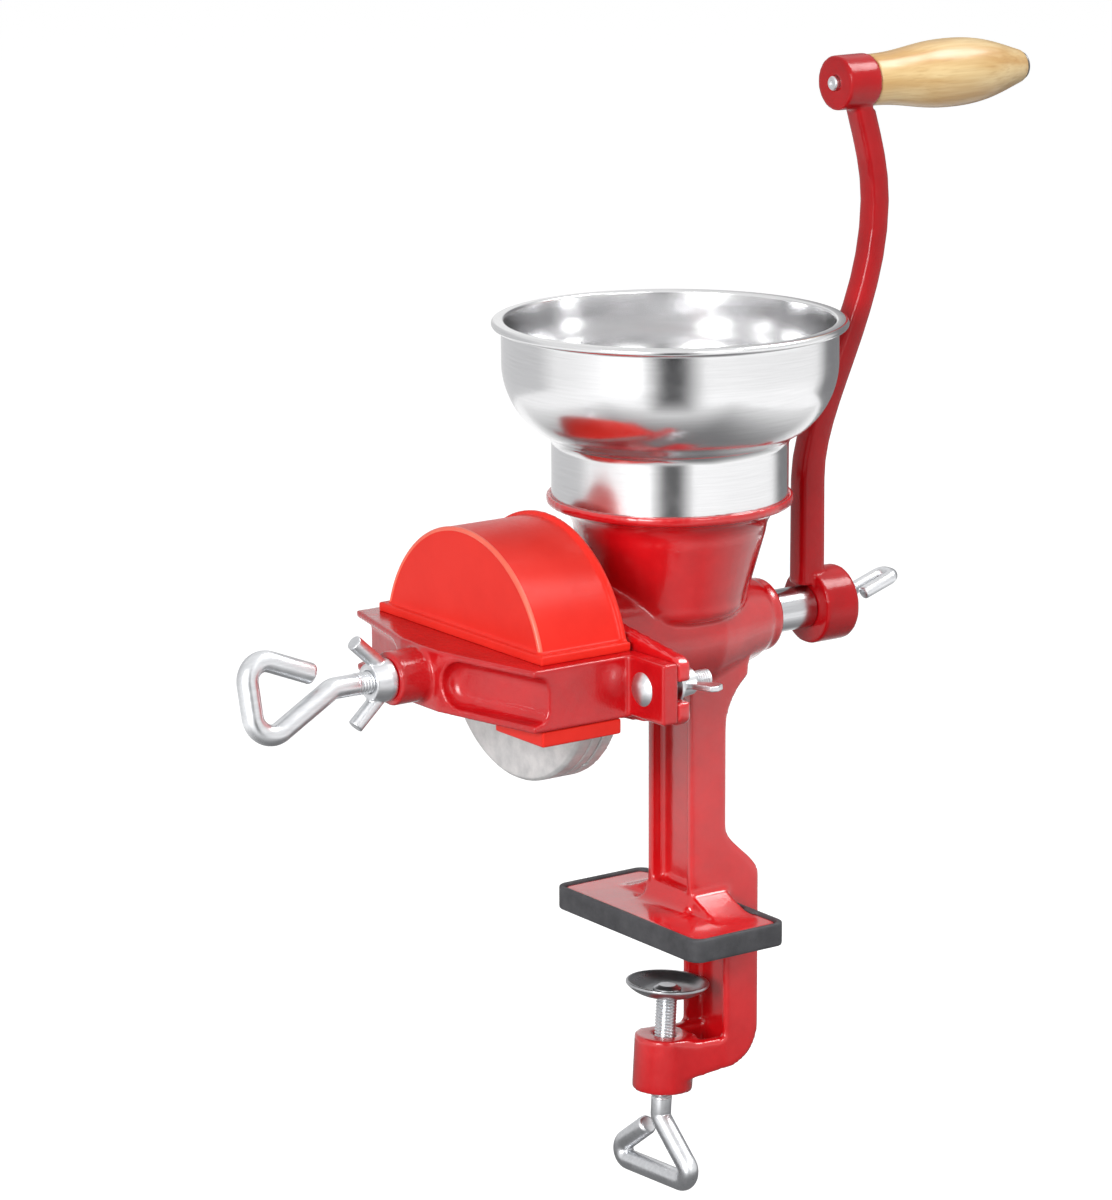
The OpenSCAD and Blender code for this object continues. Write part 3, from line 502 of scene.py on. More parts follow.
def build_streaks() -> bpy.types.NodeTree:
    """Builds fine streaks that run along Y, or around Z where Around is 1.

    Returns:
        The group, with the output Value.
    """
    tree, given, out = new_group(Effect.STREAKS, {"Fineness": 700.0, "Stretch": 0.03, "Around": 0.0}, ("Value",))
    spot = tree.add("ShaderNodeTexCoord").outputs["Object"]
    axes = tree.add("ShaderNodeSeparateXYZ", {0: spot}).outputs
    slow_y = tree.math("MULTIPLY", axes[1], given["Stretch"])
    along = tree.add("ShaderNodeCombineXYZ", {0: axes[0], 1: slow_y, 2: axes[2]})
    slow_x = tree.math("MULTIPLY", axes[0], given["Stretch"])
    around = tree.add("ShaderNodeCombineXYZ", {0: slow_x, 1: slow_y, 2: axes[2]})
    way = tree.add("ShaderNodeMix", {"Factor": given["Around"], 4: along.outputs[0], 5: around.outputs[0]},
                   data_type="VECTOR")
    tree.feed(out["Value"], tree.noise(way.outputs[1], given["Fineness"], 3.0))
    return tree.tree


BUILDERS = {Effect.MOTTLE: build_mottle, Effect.CAST_SKIN: build_cast_skin, Effect.STREAKS: build_streaks}


class Finish:
    """A material in the making: its tree, its shader and the shared effects."""

    def __init__(self, name: str) -> None:
        """Starts a material with one Principled shader.

        Args:
            name: Name of the material.
        """
        self.material = bpy.data.materials.new(name)
        self.material.use_nodes = True
        self.material.node_tree.nodes.clear()
        self.tree = Tree(self.material.node_tree)
        self.shader = self.tree.add("ShaderNodeBsdfPrincipled")
        out = self.tree.add("ShaderNodeOutputMaterial")
        self.tree.feed(out.inputs["Surface"], self.shader.outputs[0])

    def set(self, **values: Any) -> None:
        """Sets inputs of the shader.

        Args:
            values: Values or sockets, with an underscore for each space in an input's name.
        """
        for name, value in values.items():
            self.tree.feed(self.shader.inputs[name.replace("_", " ")], value)

    def effect(self, effect: Effect, **values: Any) -> bpy.types.NodeOutputs:
        """Places a shared effect with its own values.

        Args:
            effect: Which effect.
            values: Its inputs, with an underscore for each space in a name.

        Returns:
            Its outputs.
        """
        group = bpy.data.node_groups.get(effect.value) or BUILDERS[effect]()
        node = self.tree.add("ShaderNodeGroup", node_tree=group)
        for name, value in values.items():
            self.tree.feed(node.inputs[name.replace("_", " ")], value)
        return node.outputs

    def bump(self, height: bpy.types.NodeSocket, strength: float, distance: float) -> None:
        """Raises the surface by a height, in metres at full strength."""
        bump = self.tree.add("ShaderNodeBump", {"Height": height, "Strength": strength, "Distance": distance})
        self.set(Normal=bump.outputs[0])


@dataclass(frozen=True)
class Surface:
    """A painted, cast or moulded surface.

    The gloss is a scale and two limits, the grain is its height, its ripples and its scale, and the relief is a
    strength and a depth.
    """

    name: str
    dark: Colour
    light: Colour
    drift: float
    gloss: tuple[float, float, float]
    grain: tuple[float, float, float]
    relief: Point
    shine: float = 0.5
    coat: float = 0.0
    metal: float = 0.0

    def build(self) -> bpy.types.Material:
        """Builds the material.

        Returns:
            The material.
        """
        finish = Finish(self.name)
        drift = finish.effect(Effect.MOTTLE, Scale=self.drift)
        scale, low, high = self.gloss
        gloss = finish.effect(Effect.MOTTLE, Scale=scale, Low=low, High=high)
        grain, ripple, fineness = self.grain
        height = finish.effect(Effect.CAST_SKIN, Grain=grain, Ripple=ripple, Grain_Scale=fineness)
        finish.set(Base_Color=finish.tree.mix(drift["Mask"], self.dark, self.light), Metallic=self.metal,
                   Roughness=gloss["Value"], Specular_IOR_Level=self.shine, Coat_Weight=self.coat,
                   Coat_Roughness=0.1)
        finish.bump(height["Height"], *self.relief)
        return finish.material


@dataclass(frozen=True)
class BrightSteel:
    """Bare or plated steel with fine streaks from the tool that shaped it."""

    name: str
    light: Colour
    dark: Colour
    rough: Point
    around: float = 0.0
    fineness: float = 700.0
    depth: float = 0.03 * MM

    def build(self) -> bpy.types.Material:
        """Builds the material.

        Returns:
            The material.
        """
        finish = Finish(self.name)
        streaks = finish.effect(Effect.STREAKS, Fineness=self.fineness, Around=self.around)
        smudge = finish.effect(Effect.MOTTLE, Scale=70.0, Low=self.rough[0], High=self.rough[1])
        finish.set(Base_Color=finish.tree.mix(streaks["Value"], self.dark, self.light), Metallic=1.0,
                   Roughness=smudge["Value"])
        finish.bump(streaks["Value"], 0.25, self.depth)
        return finish.material


@dataclass(frozen=True)
class Wood:
    """Pale lacquered wood with its grain along the handle."""

    name: str = "wood"
    light: Colour = srgb(228, 200, 146)
    dark: Colour = srgb(200, 156, 92)
    pore: Colour = srgb(168, 112, 48)

    def build(self) -> bpy.types.Material:
        """Builds the material.

        Returns:
            The material.
        """
        finish = Finish(self.name)
        pores = finish.effect(Effect.STREAKS, Fineness=900.0, Stretch=0.025)
        bands = finish.effect(Effect.STREAKS, Fineness=150.0, Stretch=0.09)
        share = finish.tree.remap(bands["Value"], 0.36, 0.66, 0.0, 1.0)
        ground = finish.tree.mix(share, self.dark, self.light)
        flecks = finish.tree.remap(pores["Value"], 0.3, 0.5, 0.25, 0.0)
        gloss = finish.effect(Effect.MOTTLE, Scale=120.0, Low=0.28, High=0.4)
        finish.set(Base_Color=finish.tree.mix(flecks, ground, self.pore),
                   Roughness=gloss["Value"], Coat_Weight=0.25, Coat_Roughness=0.15)
        finish.bump(pores["Value"], 0.15, 0.2 * MM)
        return finish.material


# Pieces


@dataclass
class Dresser:
    """Places finished pieces on the bodies of the mill."""

    nodes: dict[str, bpy.types.Object]
    bodies: dict[str, str]
    finishes: dict[str, bpy.types.Material]

    def dress(self, piece: bpy.types.Object, node: str, finish: str, stands: bool = True) -> None:
        """Lets a piece ride on the body of a node and stand for the node.

        Args:
            piece: The new object.
            node: The node.
            finish: Name of its material.
            stands: Whether it stands for the node, or only rides on its body.
        """
        piece.data.materials.clear()
        piece.data.materials.append(self.finishes[finish])
        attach(piece, self.bodies[node])
        if stands:
            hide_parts(node)
        LOG.info("%s rides on %s: %d faces", piece.name, self.bodies[node], len(piece.data.polygons))

    def soften(self, node: str, name: str, finish: str, voxel: float, rounds: int) -> None:
        """Dresses a node with a copy that has the soft edges of a casting or a moulding.

        Args:
            node: The node to copy.
            name: Name of the piece.
            finish: Name of its material.
            voxel: Size of the new faces.
            rounds: Rounds of smoothing.
        """
        mesh = self.nodes[node].data.copy()
        shape = bmesh.new()
        shape.from_mesh(mesh)
        bmesh.ops.remove_doubles(shape, verts=shape.verts, dist=1e-6)
        shape.to_mesh(mesh)
        shape.free()
        piece = link(name, mesh)
        skin = piece.modifiers.new("skin", "REMESH")
        skin.mode = "VOXEL"
        skin.voxel_size = voxel
        skin.use_smooth_shade = True
        soft = piece.modifiers.new("soft", "SMOOTH")
        soft.factor = 0.5
        soft.iterations = rounds
        bpy.context.view_layer.update()
        final = bpy.data.meshes.new_from_object(piece.evaluated_get(bpy.context.evaluated_depsgraph_get()))
        piece.modifiers.clear()
        piece.data = final
        final.name = name
        final.shade_smooth()
        self.dress(piece, node, finish)

    def paint(self, node: str, finish: str) -> None:
        """Gives a node that stays as it is a better material.

        Args:
            node: The node.
            finish: Name of its material.
        """
        mesh = self.nodes[node].data
        mesh.materials.clear()
        mesh.materials.append(self.finishes[finish])
        LOG.info("%s keeps its own shape", node)


@dataclass
class Assembly(ABC):
    """A group of pieces that are built together."""

    dresser: Dresser

    @abstractmethod
    def build(self) -> None:
        """Builds and dresses the pieces."""


@dataclass
class Castings(Assembly):
    """The enamelled castings: mill body, yoke and crank arm."""

    body_voxel: float = 1.1 * MM
    small_voxel: float = 0.8 * MM

    def build(self) -> None:
        """Builds and dresses the castings."""
        self.dresser.soften("mill_body", "body_casting", "red_enamel", self.body_voxel, rounds=7)
        self.dresser.soften("yoke", "yoke_casting", "rough_enamel", self.small_voxel, rounds=6)
        # the crank arm's enamel is a darker red than the body's: painted shade
        self.dresser.soften("crank_arm", "crank_casting", "painted_shade_enamel", self.small_voxel, rounds=9)


@dataclass
class Mouldings(Assembly):
    """The plastic guard and the rubber pad."""

    guard_voxel: float = 0.6 * MM
    pad_voxel: float = 0.7 * MM
    guard_r: float = 61.5 * MM
    guard_y: float = -112.9 * MM
    bead_r: float = 1.2 * MM
    bead_foot: float = 16.5

    def build(self) -> None:
        """Builds and dresses the mouldings."""
        self.dresser.soften("guard_cover", "guard_moulding", "red_plastic", self.guard_voxel, rounds=6)
        self.dresser.soften("rest_pad", "pad_moulding", "rubber", self.pad_voxel, rounds=5)
        self.dresser.dress(self.bead(), "guard_cover", "painted_highlight_plastic", stands=False)

    def bead(self) -> bpy.types.Object:
        """Makes the bead along the front edge of the guard's arch, in a lighter plastic that paints a highlight along
        it.

        Returns:
            The new object.
        """
        sunk = 0.8 * self.bead_r
        line = arc((0, SHAFT_Z), self.guard_r - sunk, self.bead_foot, 180 - self.bead_foot, steps=72)
        path = [Vector((x, self.guard_y + sunk, z)) for x, z in line]
        return Shell().tube(path, self.bead_r, sides=16).make("guard_bead")


@dataclass
class Hopper(Assembly):
    """The low steel hopper, turned from sheet."""

    neck_r: float = 53.4 * MM
    wall: float = 1.5 * MM
    foot: float = 202.1 * MM
    neck_top: float = 229.6 * MM
    bowl_r: float = 75.6 * MM
    curve: float = 38.0 * MM
    side: float = 15.4 * MM
    fillet: float = 6.5 * MM
    rim_r: float = 80.0 * MM
    rim_h: float = 3.5 * MM

    def profile(self) -> list[Point]:
        """Draws the outside, the rim and the inside of the sheet.

        Returns:
            One closed line of radius and height.
        """
        centre_r = self.bowl_r - self.curve
        turn = math.degrees(math.acos((self.neck_r - centre_r) / self.curve))
        centre_z = self.neck_top + self.curve * math.sin(math.radians(turn))
        rim_z = centre_z + self.side + self.rim_h
        inside = self.curve - self.wall
        inner_turn = math.degrees(math.acos((self.neck_r - self.wall - centre_r) / inside))
        crease, steps, joined = 1.2 * MM, 40, 8
        outer_turn = arc((centre_r, centre_z), self.curve, -turn, 0, steps)
        neck = soft_profile([(self.neck_r, self.foot), outer_turn[0], outer_turn[joined]], self.fillet, steps=8)
        outside = neck[:-1] + outer_turn[joined:]
        bead = self.rim_h / 2
        rim = arc((self.rim_r - bead, rim_z - bead), bead, -90, 90, steps=14)
        lip_z = rim_z - self.rim_h
        lip = soft_profile([(self.bowl_r, lip_z - 2 * MM), (self.bowl_r, lip_z), rim[0]], crease)
        mouth_r = self.bowl_r - self.wall
        mouth = soft_profile([rim[-1], (mouth_r, rim_z), (mouth_r, centre_z + 1 * MM)], crease)
        inner = arc((centre_r, centre_z), inside, 0, -inner_turn, steps)
        return outside + lip + rim[1:-1] + mouth + inner + [(self.neck_r - self.wall, self.foot)]

    def build(self) -> None:
        """Builds and dresses the hopper."""
        piece = Shell().lathe(self.profile(), UPRIGHT, sides=160, closed=True).make("hopper_bowl", sharp=60)
        self.dresser.dress(piece, "hopper", "stainless")


@dataclass
class Shaft(Assembly):
    """The shaft with its feed screw, the cross pin and the thrust ball."""

    shaft_r: float = 10.0 * MM
    tip_r: float = 9.0 * MM
    flight_r: float = 21.4 * MM
    pitch: float = 30.0 * MM
    flight_t: float = 4.0 * MM
    tip_y: float = -94.4 * MM
    step_y: float = -66.0 * MM
    flight_end_y: float = 12.0 * MM
    end_y: float = 77.7 * MM
    square: float = 12.0 * MM
    square_y: float = 91.5 * MM

    def flight(self, shell: Shell) -> None:
        """Winds the flight about the shaft.

        Args:
            shell: The shaft's shell, which takes the flight.
        """
        start = self.step_y + 1 * MM
        steps_per_turn = 72
        steps = int((self.flight_end_y - start) / self.pitch * steps_per_turn)
        root = self.shaft_r - 1 * MM
        edge = 0.5 * MM
        section = [(root, 0), (self.flight_r - edge, 0), (self.flight_r, edge), (self.flight_r, self.flight_t - edge),
                   (self.flight_r - edge, self.flight_t), (root, self.flight_t)]
        rings = []
        for i in range(steps + 1):
            y = start + (self.flight_end_y - start) * i / steps
            turn = -2 * math.pi * (y - start) / self.pitch
            across = Vector((math.cos(turn), math.sin(turn), 0))
            rings.append(shell.ring(SHAFT @ (across * r + Vector((0, 0, y + rise))) for r, rise in section))
        shell.bar(rings)

    def build(self) -> None:
        """Builds and dresses the shaft."""
        shell = Shell().lathe(soft_profile(
            [(0, self.tip_y), (self.tip_r, self.tip_y), (self.tip_r, self.step_y), (self.shaft_r, self.step_y),
             (self.shaft_r, self.end_y), (0, self.end_y)], 0.6 * MM), SHAFT, sides=72)
        shell.square_bar(SHAFT, self.square, self.end_y - 2 * MM, self.square_y)
        self.flight(shell)
        self.dresser.dress(shell.make("feed_shaft"), "auger", "ground_steel")
        self.dresser.paint("drive_pin", "ground_steel")
        self.dresser.paint("thrust_ball", "ground_steel")


@dataclass
class Plates(Assembly):
    """The grinding plates, the rotor disc and their screws."""

    voxel: float = 0.6 * MM

    def build(self) -> None:
        """Builds and dresses the plates."""
        names = {"fixed_burr": "fixed_plate", "turning_burr": "turning_plate", "rotor_disc": "rotor_casting"}
        for node, name in names.items():
            self.dresser.soften(node, name, "tinned_iron", self.voxel, rounds=4)
        self.dresser.paint("fixed_burr_screws", "zinc")
        self.dresser.paint("turning_burr_screws", "zinc")


@dataclass(frozen=True)
class BentBar:
    """A threaded bar that is bent to a three-sided loop at its lower end."""

    place: Matrix
    turn: float
    bend: float
    plain: float
    end: float
    length: float
    near: float
    far: float
    tip: Point
    bend_r: float
    radius: float = 4.9 * MM
    wire: float = 4.78 * MM
    pitch: float = 1.5 * MM

    def build(self) -> Shell:
        """Bends the loop and cuts the thread above it.

        Returns:
            The bar's shell.
        """
        corners = [(0, self.plain), (0, -self.radius), (-self.near, -self.length), (self.far, -self.length),
                   (self.tip[0], -self.tip[1])]
        line = rounded([Vector((x, 0, self.bend + z)) for x, z in corners], self.bend_r, steps=14)
        turned = self.place @ Matrix.Rotation(math.radians(self.turn), 4, "Z")
        shell = Shell().tube([turned @ p for p in line], self.wire)
        return shell.thread(self.bend + self.plain - 2 * MM, self.end, self.radius, self.place, self.pitch)


@dataclass
class BentScrews(Assembly):
    """The two bent screws with their loops, the lock nut and the cup."""

    clamp_y: float = 0.7 * MM
    clamp_lean: float = 3.4
    cup_foot: float = -33.2 * MM
    cup_z: float = -26.6 * MM
    cup_floor: float = -30.7 * MM
    cup_r: float = 19.3 * MM
    nut_voxel: float = 0.4 * MM

    def build(self) -> None:
        """Builds and dresses the screws."""
        bar = BentBar(SHAFT, -104.0, bend=-176.4 * MM, plain=9 * MM, end=-97.6 * MM, length=46.0 * MM,
                      near=21.0 * MM, far=21.0 * MM, tip=(7.56 * MM, 13.34 * MM), bend_r=9.0 * MM)
        self.dresser.dress(bar.build().make("adjusting_bar"), "adjusting_screw", "zinc")
        self.dresser.soften("lock_nut", "winged_lock_nut", "zinc", self.nut_voxel, rounds=6)
        self.build_clamp()

    def build_clamp(self) -> None:
        """Builds and dresses the leaning clamp screw and its cup."""
        place = Matrix.Translation((0, self.clamp_y, 0)) @ Matrix.Rotation(math.radians(-self.clamp_lean), 4, "X")
        bar = BentBar(place, 185.0, bend=-87.0 * MM, plain=6 * MM, end=self.cup_foot - RESTING_GAP,
                      length=31.5 * MM, near=28.5 * MM, far=34.0 * MM, tip=(8.16 * MM, 10.71 * MM), bend_r=5.0 * MM)
        shell = bar.build()
        head_z = self.cup_floor + RESTING_GAP
        neck_r, head_r, head_h = 4.0 * MM, 6.6 * MM, 2.2 * MM
        shell.lathe(soft_profile(
            [(0, self.cup_foot - 1 * MM), (neck_r, self.cup_foot - 1 * MM), (neck_r, head_z), (head_r, head_z),
             (head_r, head_z + 0.8 * MM), (head_r * 0.6, head_z + head_h), (0, head_z + head_h)],
            0.4 * MM), place, sides=48)
        self.dresser.dress(shell.make("clamp_bar"), "clamp_screw", "zinc")
        hole_r, hub_r, skin = neck_r + RUNNING_GAP, 7.1 * MM, 2 * MM
        below = cubic([(hub_r, self.cup_foot), (self.cup_r * 0.75, self.cup_foot + 0.3 * MM),
                       (self.cup_r * 0.9, self.cup_z - 1.6 * skin), (self.cup_r, self.cup_z - 0.6 * skin)], 12)
        above = cubic([(self.cup_r - 1.2 * MM, self.cup_z), (self.cup_r * 0.8, self.cup_z - 1.5 * MM),
                       (self.cup_r * 0.68, self.cup_floor), (self.cup_r * 0.45, self.cup_floor)], 12)
        rim = soft_profile([below[-1], (self.cup_r, self.cup_z), above[0]], 0.7 * MM)
        dish = [(hole_r, self.cup_foot)] + below + rim[1:-1] + above + [(hole_r, self.cup_floor)]
        piece = Shell().lathe(dish, place, closed=True).make("cup_dish")
        self.dresser.dress(piece, "clamp_cup", "cup_steel")


@dataclass
class YokeFasteners(Assembly):
    """The yoke's bolts, washers and wing nuts."""

    bolt_x: float = 80.0 * MM
    bolt_r: float = 4.0 * MM
    head_r: float = 7.5 * MM
    lug_y: float = -74.0 * MM
    lug_t: float = 8.0 * MM
    washer_y: float = -58.9 * MM
    washer_r: float = 9.0 * MM
    washer_t: float = 1.6 * MM
    bolt_end: float = -39.2 * MM
    pitch: float = 1.25 * MM
    nut_voxel: float = 0.35 * MM

    def place(self, side: int) -> Matrix:
        """Where a bolt's axis lies, on the left at -1 or the right at 1."""
        return Matrix.Translation((side * self.bolt_x, 0, 0)) @ SHAFT

    def bolts(self) -> bpy.types.Object:
        """Makes both bolts with domed heads and square necks.

        Returns:
            The new object.
        """
        shell = Shell()
        rise = self.head_r * 0.45
        dome_r = (self.head_r**2 + rise**2) / (2 * rise)
        for side in (-1, 1):
            place = self.place(side)
            crown = self.lug_y - rise + dome_r
            spread = math.degrees(math.asin(self.head_r / dome_r))
            dome = arc((0, crown), dome_r, -90, spread - 90, steps=12)
            edge = soft_profile([dome[-2], (self.head_r, self.lug_y - 0.2 * MM), (self.head_r, self.lug_y),
                                 (0, self.lug_y)], 0.3 * MM)
            shell.lathe(dome[:-1] + edge[1:], place, sides=64)
            neck_y = self.lug_y - 0.5 * MM
            shell.square_bar(place, 2 * self.bolt_r, neck_y, neck_y + self.lug_t)
            shell.thread(self.lug_y + 2 * MM, self.bolt_end, self.bolt_r, place, self.pitch, sides=32)
        return shell.make("carriage_bolts")

    def build(self) -> None:
        """Builds and dresses the fasteners."""
        self.dresser.dress(self.bolts(), "yoke_bolts", "zinc")
        hole, low, high = self.bolt_r + RUNNING_GAP, self.washer_y, self.washer_y + self.washer_t
        ring = soft_profile([(hole, low + self.washer_t / 2), (hole, low), (self.washer_r, low),
                             (self.washer_r, high), (hole, high), (hole, low + self.washer_t * 0.51)],
                            0.25 * MM, steps=3)
        for side, word in ((-1, "left"), (1, "right")):
            piece = Shell().lathe(ring, self.place(side), sides=64, closed=True).make(f"{word}_washer")
            self.dresser.dress(piece, f"washer_{word}", "zinc")
            self.dresser.soften(f"wing_nut_{word}", f"{word}_wing_nut", "zinc", self.nut_voxel, rounds=6)


@dataclass
class CrankFittings(Assembly):
    """The crank's thumb screw, the handle's spindle and the wooden grip."""

    hub_y: float = 78.0 * MM
    hub_back: float = 96.5 * MM
    screw_r: float = 3.5 * MM
    wire_r: float = 3.1 * MM
    eye_tilt: float = 18.0
    eye_l: float = 27.8 * MM
    eye_half: float = 4.4 * MM
    eye_bend: float = 3.4 * MM
    crank_r: float = 241.0 * MM
    boss_y: float = 92.5 * MM
    boss_back: float = 110.5 * MM
    grip_l: float = 91.0 * MM
    grip_neck_r: float = 11.7 * MM
    grip_r: float = 15.8 * MM
    grip_end_r: float = 7.4 * MM
    spindle_r: float = 4.0 * MM
    tip_r: float = 3.3 * MM
    head_r: float = 6.5 * MM
    air: float = 0.3 * MM

    def thumb_screw(self) -> bpy.types.Object:
        """Makes the thumb screw with its eye bent upward.

        Returns:
            The new object.
        """
        tip_y, collar_r = self.hub_y + 4 * MM, self.screw_r + 3 * MM
        shoulder_y = self.hub_back + RESTING_GAP
        bend_y = shoulder_y + 4.0 * MM
        shell = Shell().lathe(soft_profile(
            [(0, tip_y), (self.screw_r, tip_y), (self.screw_r, shoulder_y), (collar_r, shoulder_y),
             (collar_r, shoulder_y + 2.5 * MM), (self.screw_r, shoulder_y + 3.2 * MM), (0, bend_y)],
            0.4 * MM), SHAFT, sides=48)
        place = (Matrix.Translation((0, bend_y, SHAFT_Z)) @ Matrix.Rotation(math.radians(self.eye_tilt), 4, "X")
                 @ Matrix.Rotation(math.radians(90), 4, "X"))
        hairpin = [(0, self.wire_r), (0, -self.wire_r), (-self.eye_half, -self.eye_l * 0.35),
                   (-self.eye_half, -self.eye_l), (self.eye_half, -self.eye_l), (self.eye_half, -self.eye_l * 0.3)]
        line = rounded([Vector((x, 0, z)) for x, z in hairpin], self.eye_bend, steps=12)
        shell.tube([place @ p for p in line], self.wire_r)
        return shell.make("thumb_screw")

    def build(self) -> None:
        """Builds and dresses the fittings."""
        self.dresser.dress(self.thumb_screw(), "crank_screw", "zinc")
        handle = Matrix.Translation((0, 0, self.crank_r)) @ SHAFT
        start = self.boss_back + self.air
        end = start + self.grip_l
        head_h = 2.5 * MM
        cap = end + self.air
        tip = self.boss_y - 1.8 * MM
        shoulder = self.boss_back + RESTING_GAP
        spindle = soft_profile(
            [(0, tip + 0.7 * MM), (1.2 * MM, tip + 0.7 * MM), (1.4 * MM, tip), (self.tip_r - 0.5 * MM, tip),
             (self.tip_r, tip + 0.6 * MM), (self.tip_r, shoulder), (self.spindle_r, shoulder), (self.spindle_r, cap),
             (self.head_r, cap), (self.head_r, cap + 1 * MM), (self.head_r * 0.6, cap + head_h), (0, cap + head_h)],
            0.3 * MM)
        rivet = Shell().lathe(spindle, handle, sides=56).make("handle_rivet")
        self.dresser.dress(rivet, "handle_spindle", "dark_steel")
        rivet.data.materials.append(self.dresser.finishes["zinc"])
        for face in rivet.data.polygons:
            face.material_index = 1 if face.center.y < self.boss_back else 0
        swell = cubic([(self.grip_neck_r, 0), (self.grip_neck_r, 0.24), (self.grip_r, 0.3), (self.grip_r, 0.53)], 28)
        taper = cubic([(self.grip_r, 0.53), (self.grip_r, 0.74), (self.grip_end_r + 4.5 * MM, 0.84),
                       (self.grip_end_r, 1)], 24)
        hole = self.spindle_r + RUNNING_GAP
        side = [(r, start + share * self.grip_l) for r, share in swell + taper[1:]]
        near = soft_profile([(hole, start), (self.grip_neck_r, start), side[4]], 1.2 * MM)
        far = soft_profile([side[-3], (self.grip_end_r, end), (hole, end)], 1.5 * MM)
        outline = near[:-1] + side[4:-3] + far
        piece = Shell().lathe(outline, handle, closed=True).make("wooden_grip")
        self.dresser.dress(piece, "handle_grip", "wood")


# Studio


def seen_as_backdrop(tree: Tree) -> bpy.types.NodeSocket:
    """Tells whether the camera sees a surface straight on, in metal or through glass.

    Args:
        tree: The tree to add to.

    Returns:
        A socket that gives 1 there, and else 0.
    """
    path = tree.add("ShaderNodeLightPath")
    seen = tree.math("MAXIMUM", path.outputs["Is Camera Ray"], path.outputs["Is Glossy Ray"])
    return tree.math("MAXIMUM", seen, path.outputs["Is Transmission Ray"])


@dataclass(frozen=True)
class Softbox:
    """A soft lamp that looks at the mill."""

    name: str
    place: Place
    size: Point
    watts: float


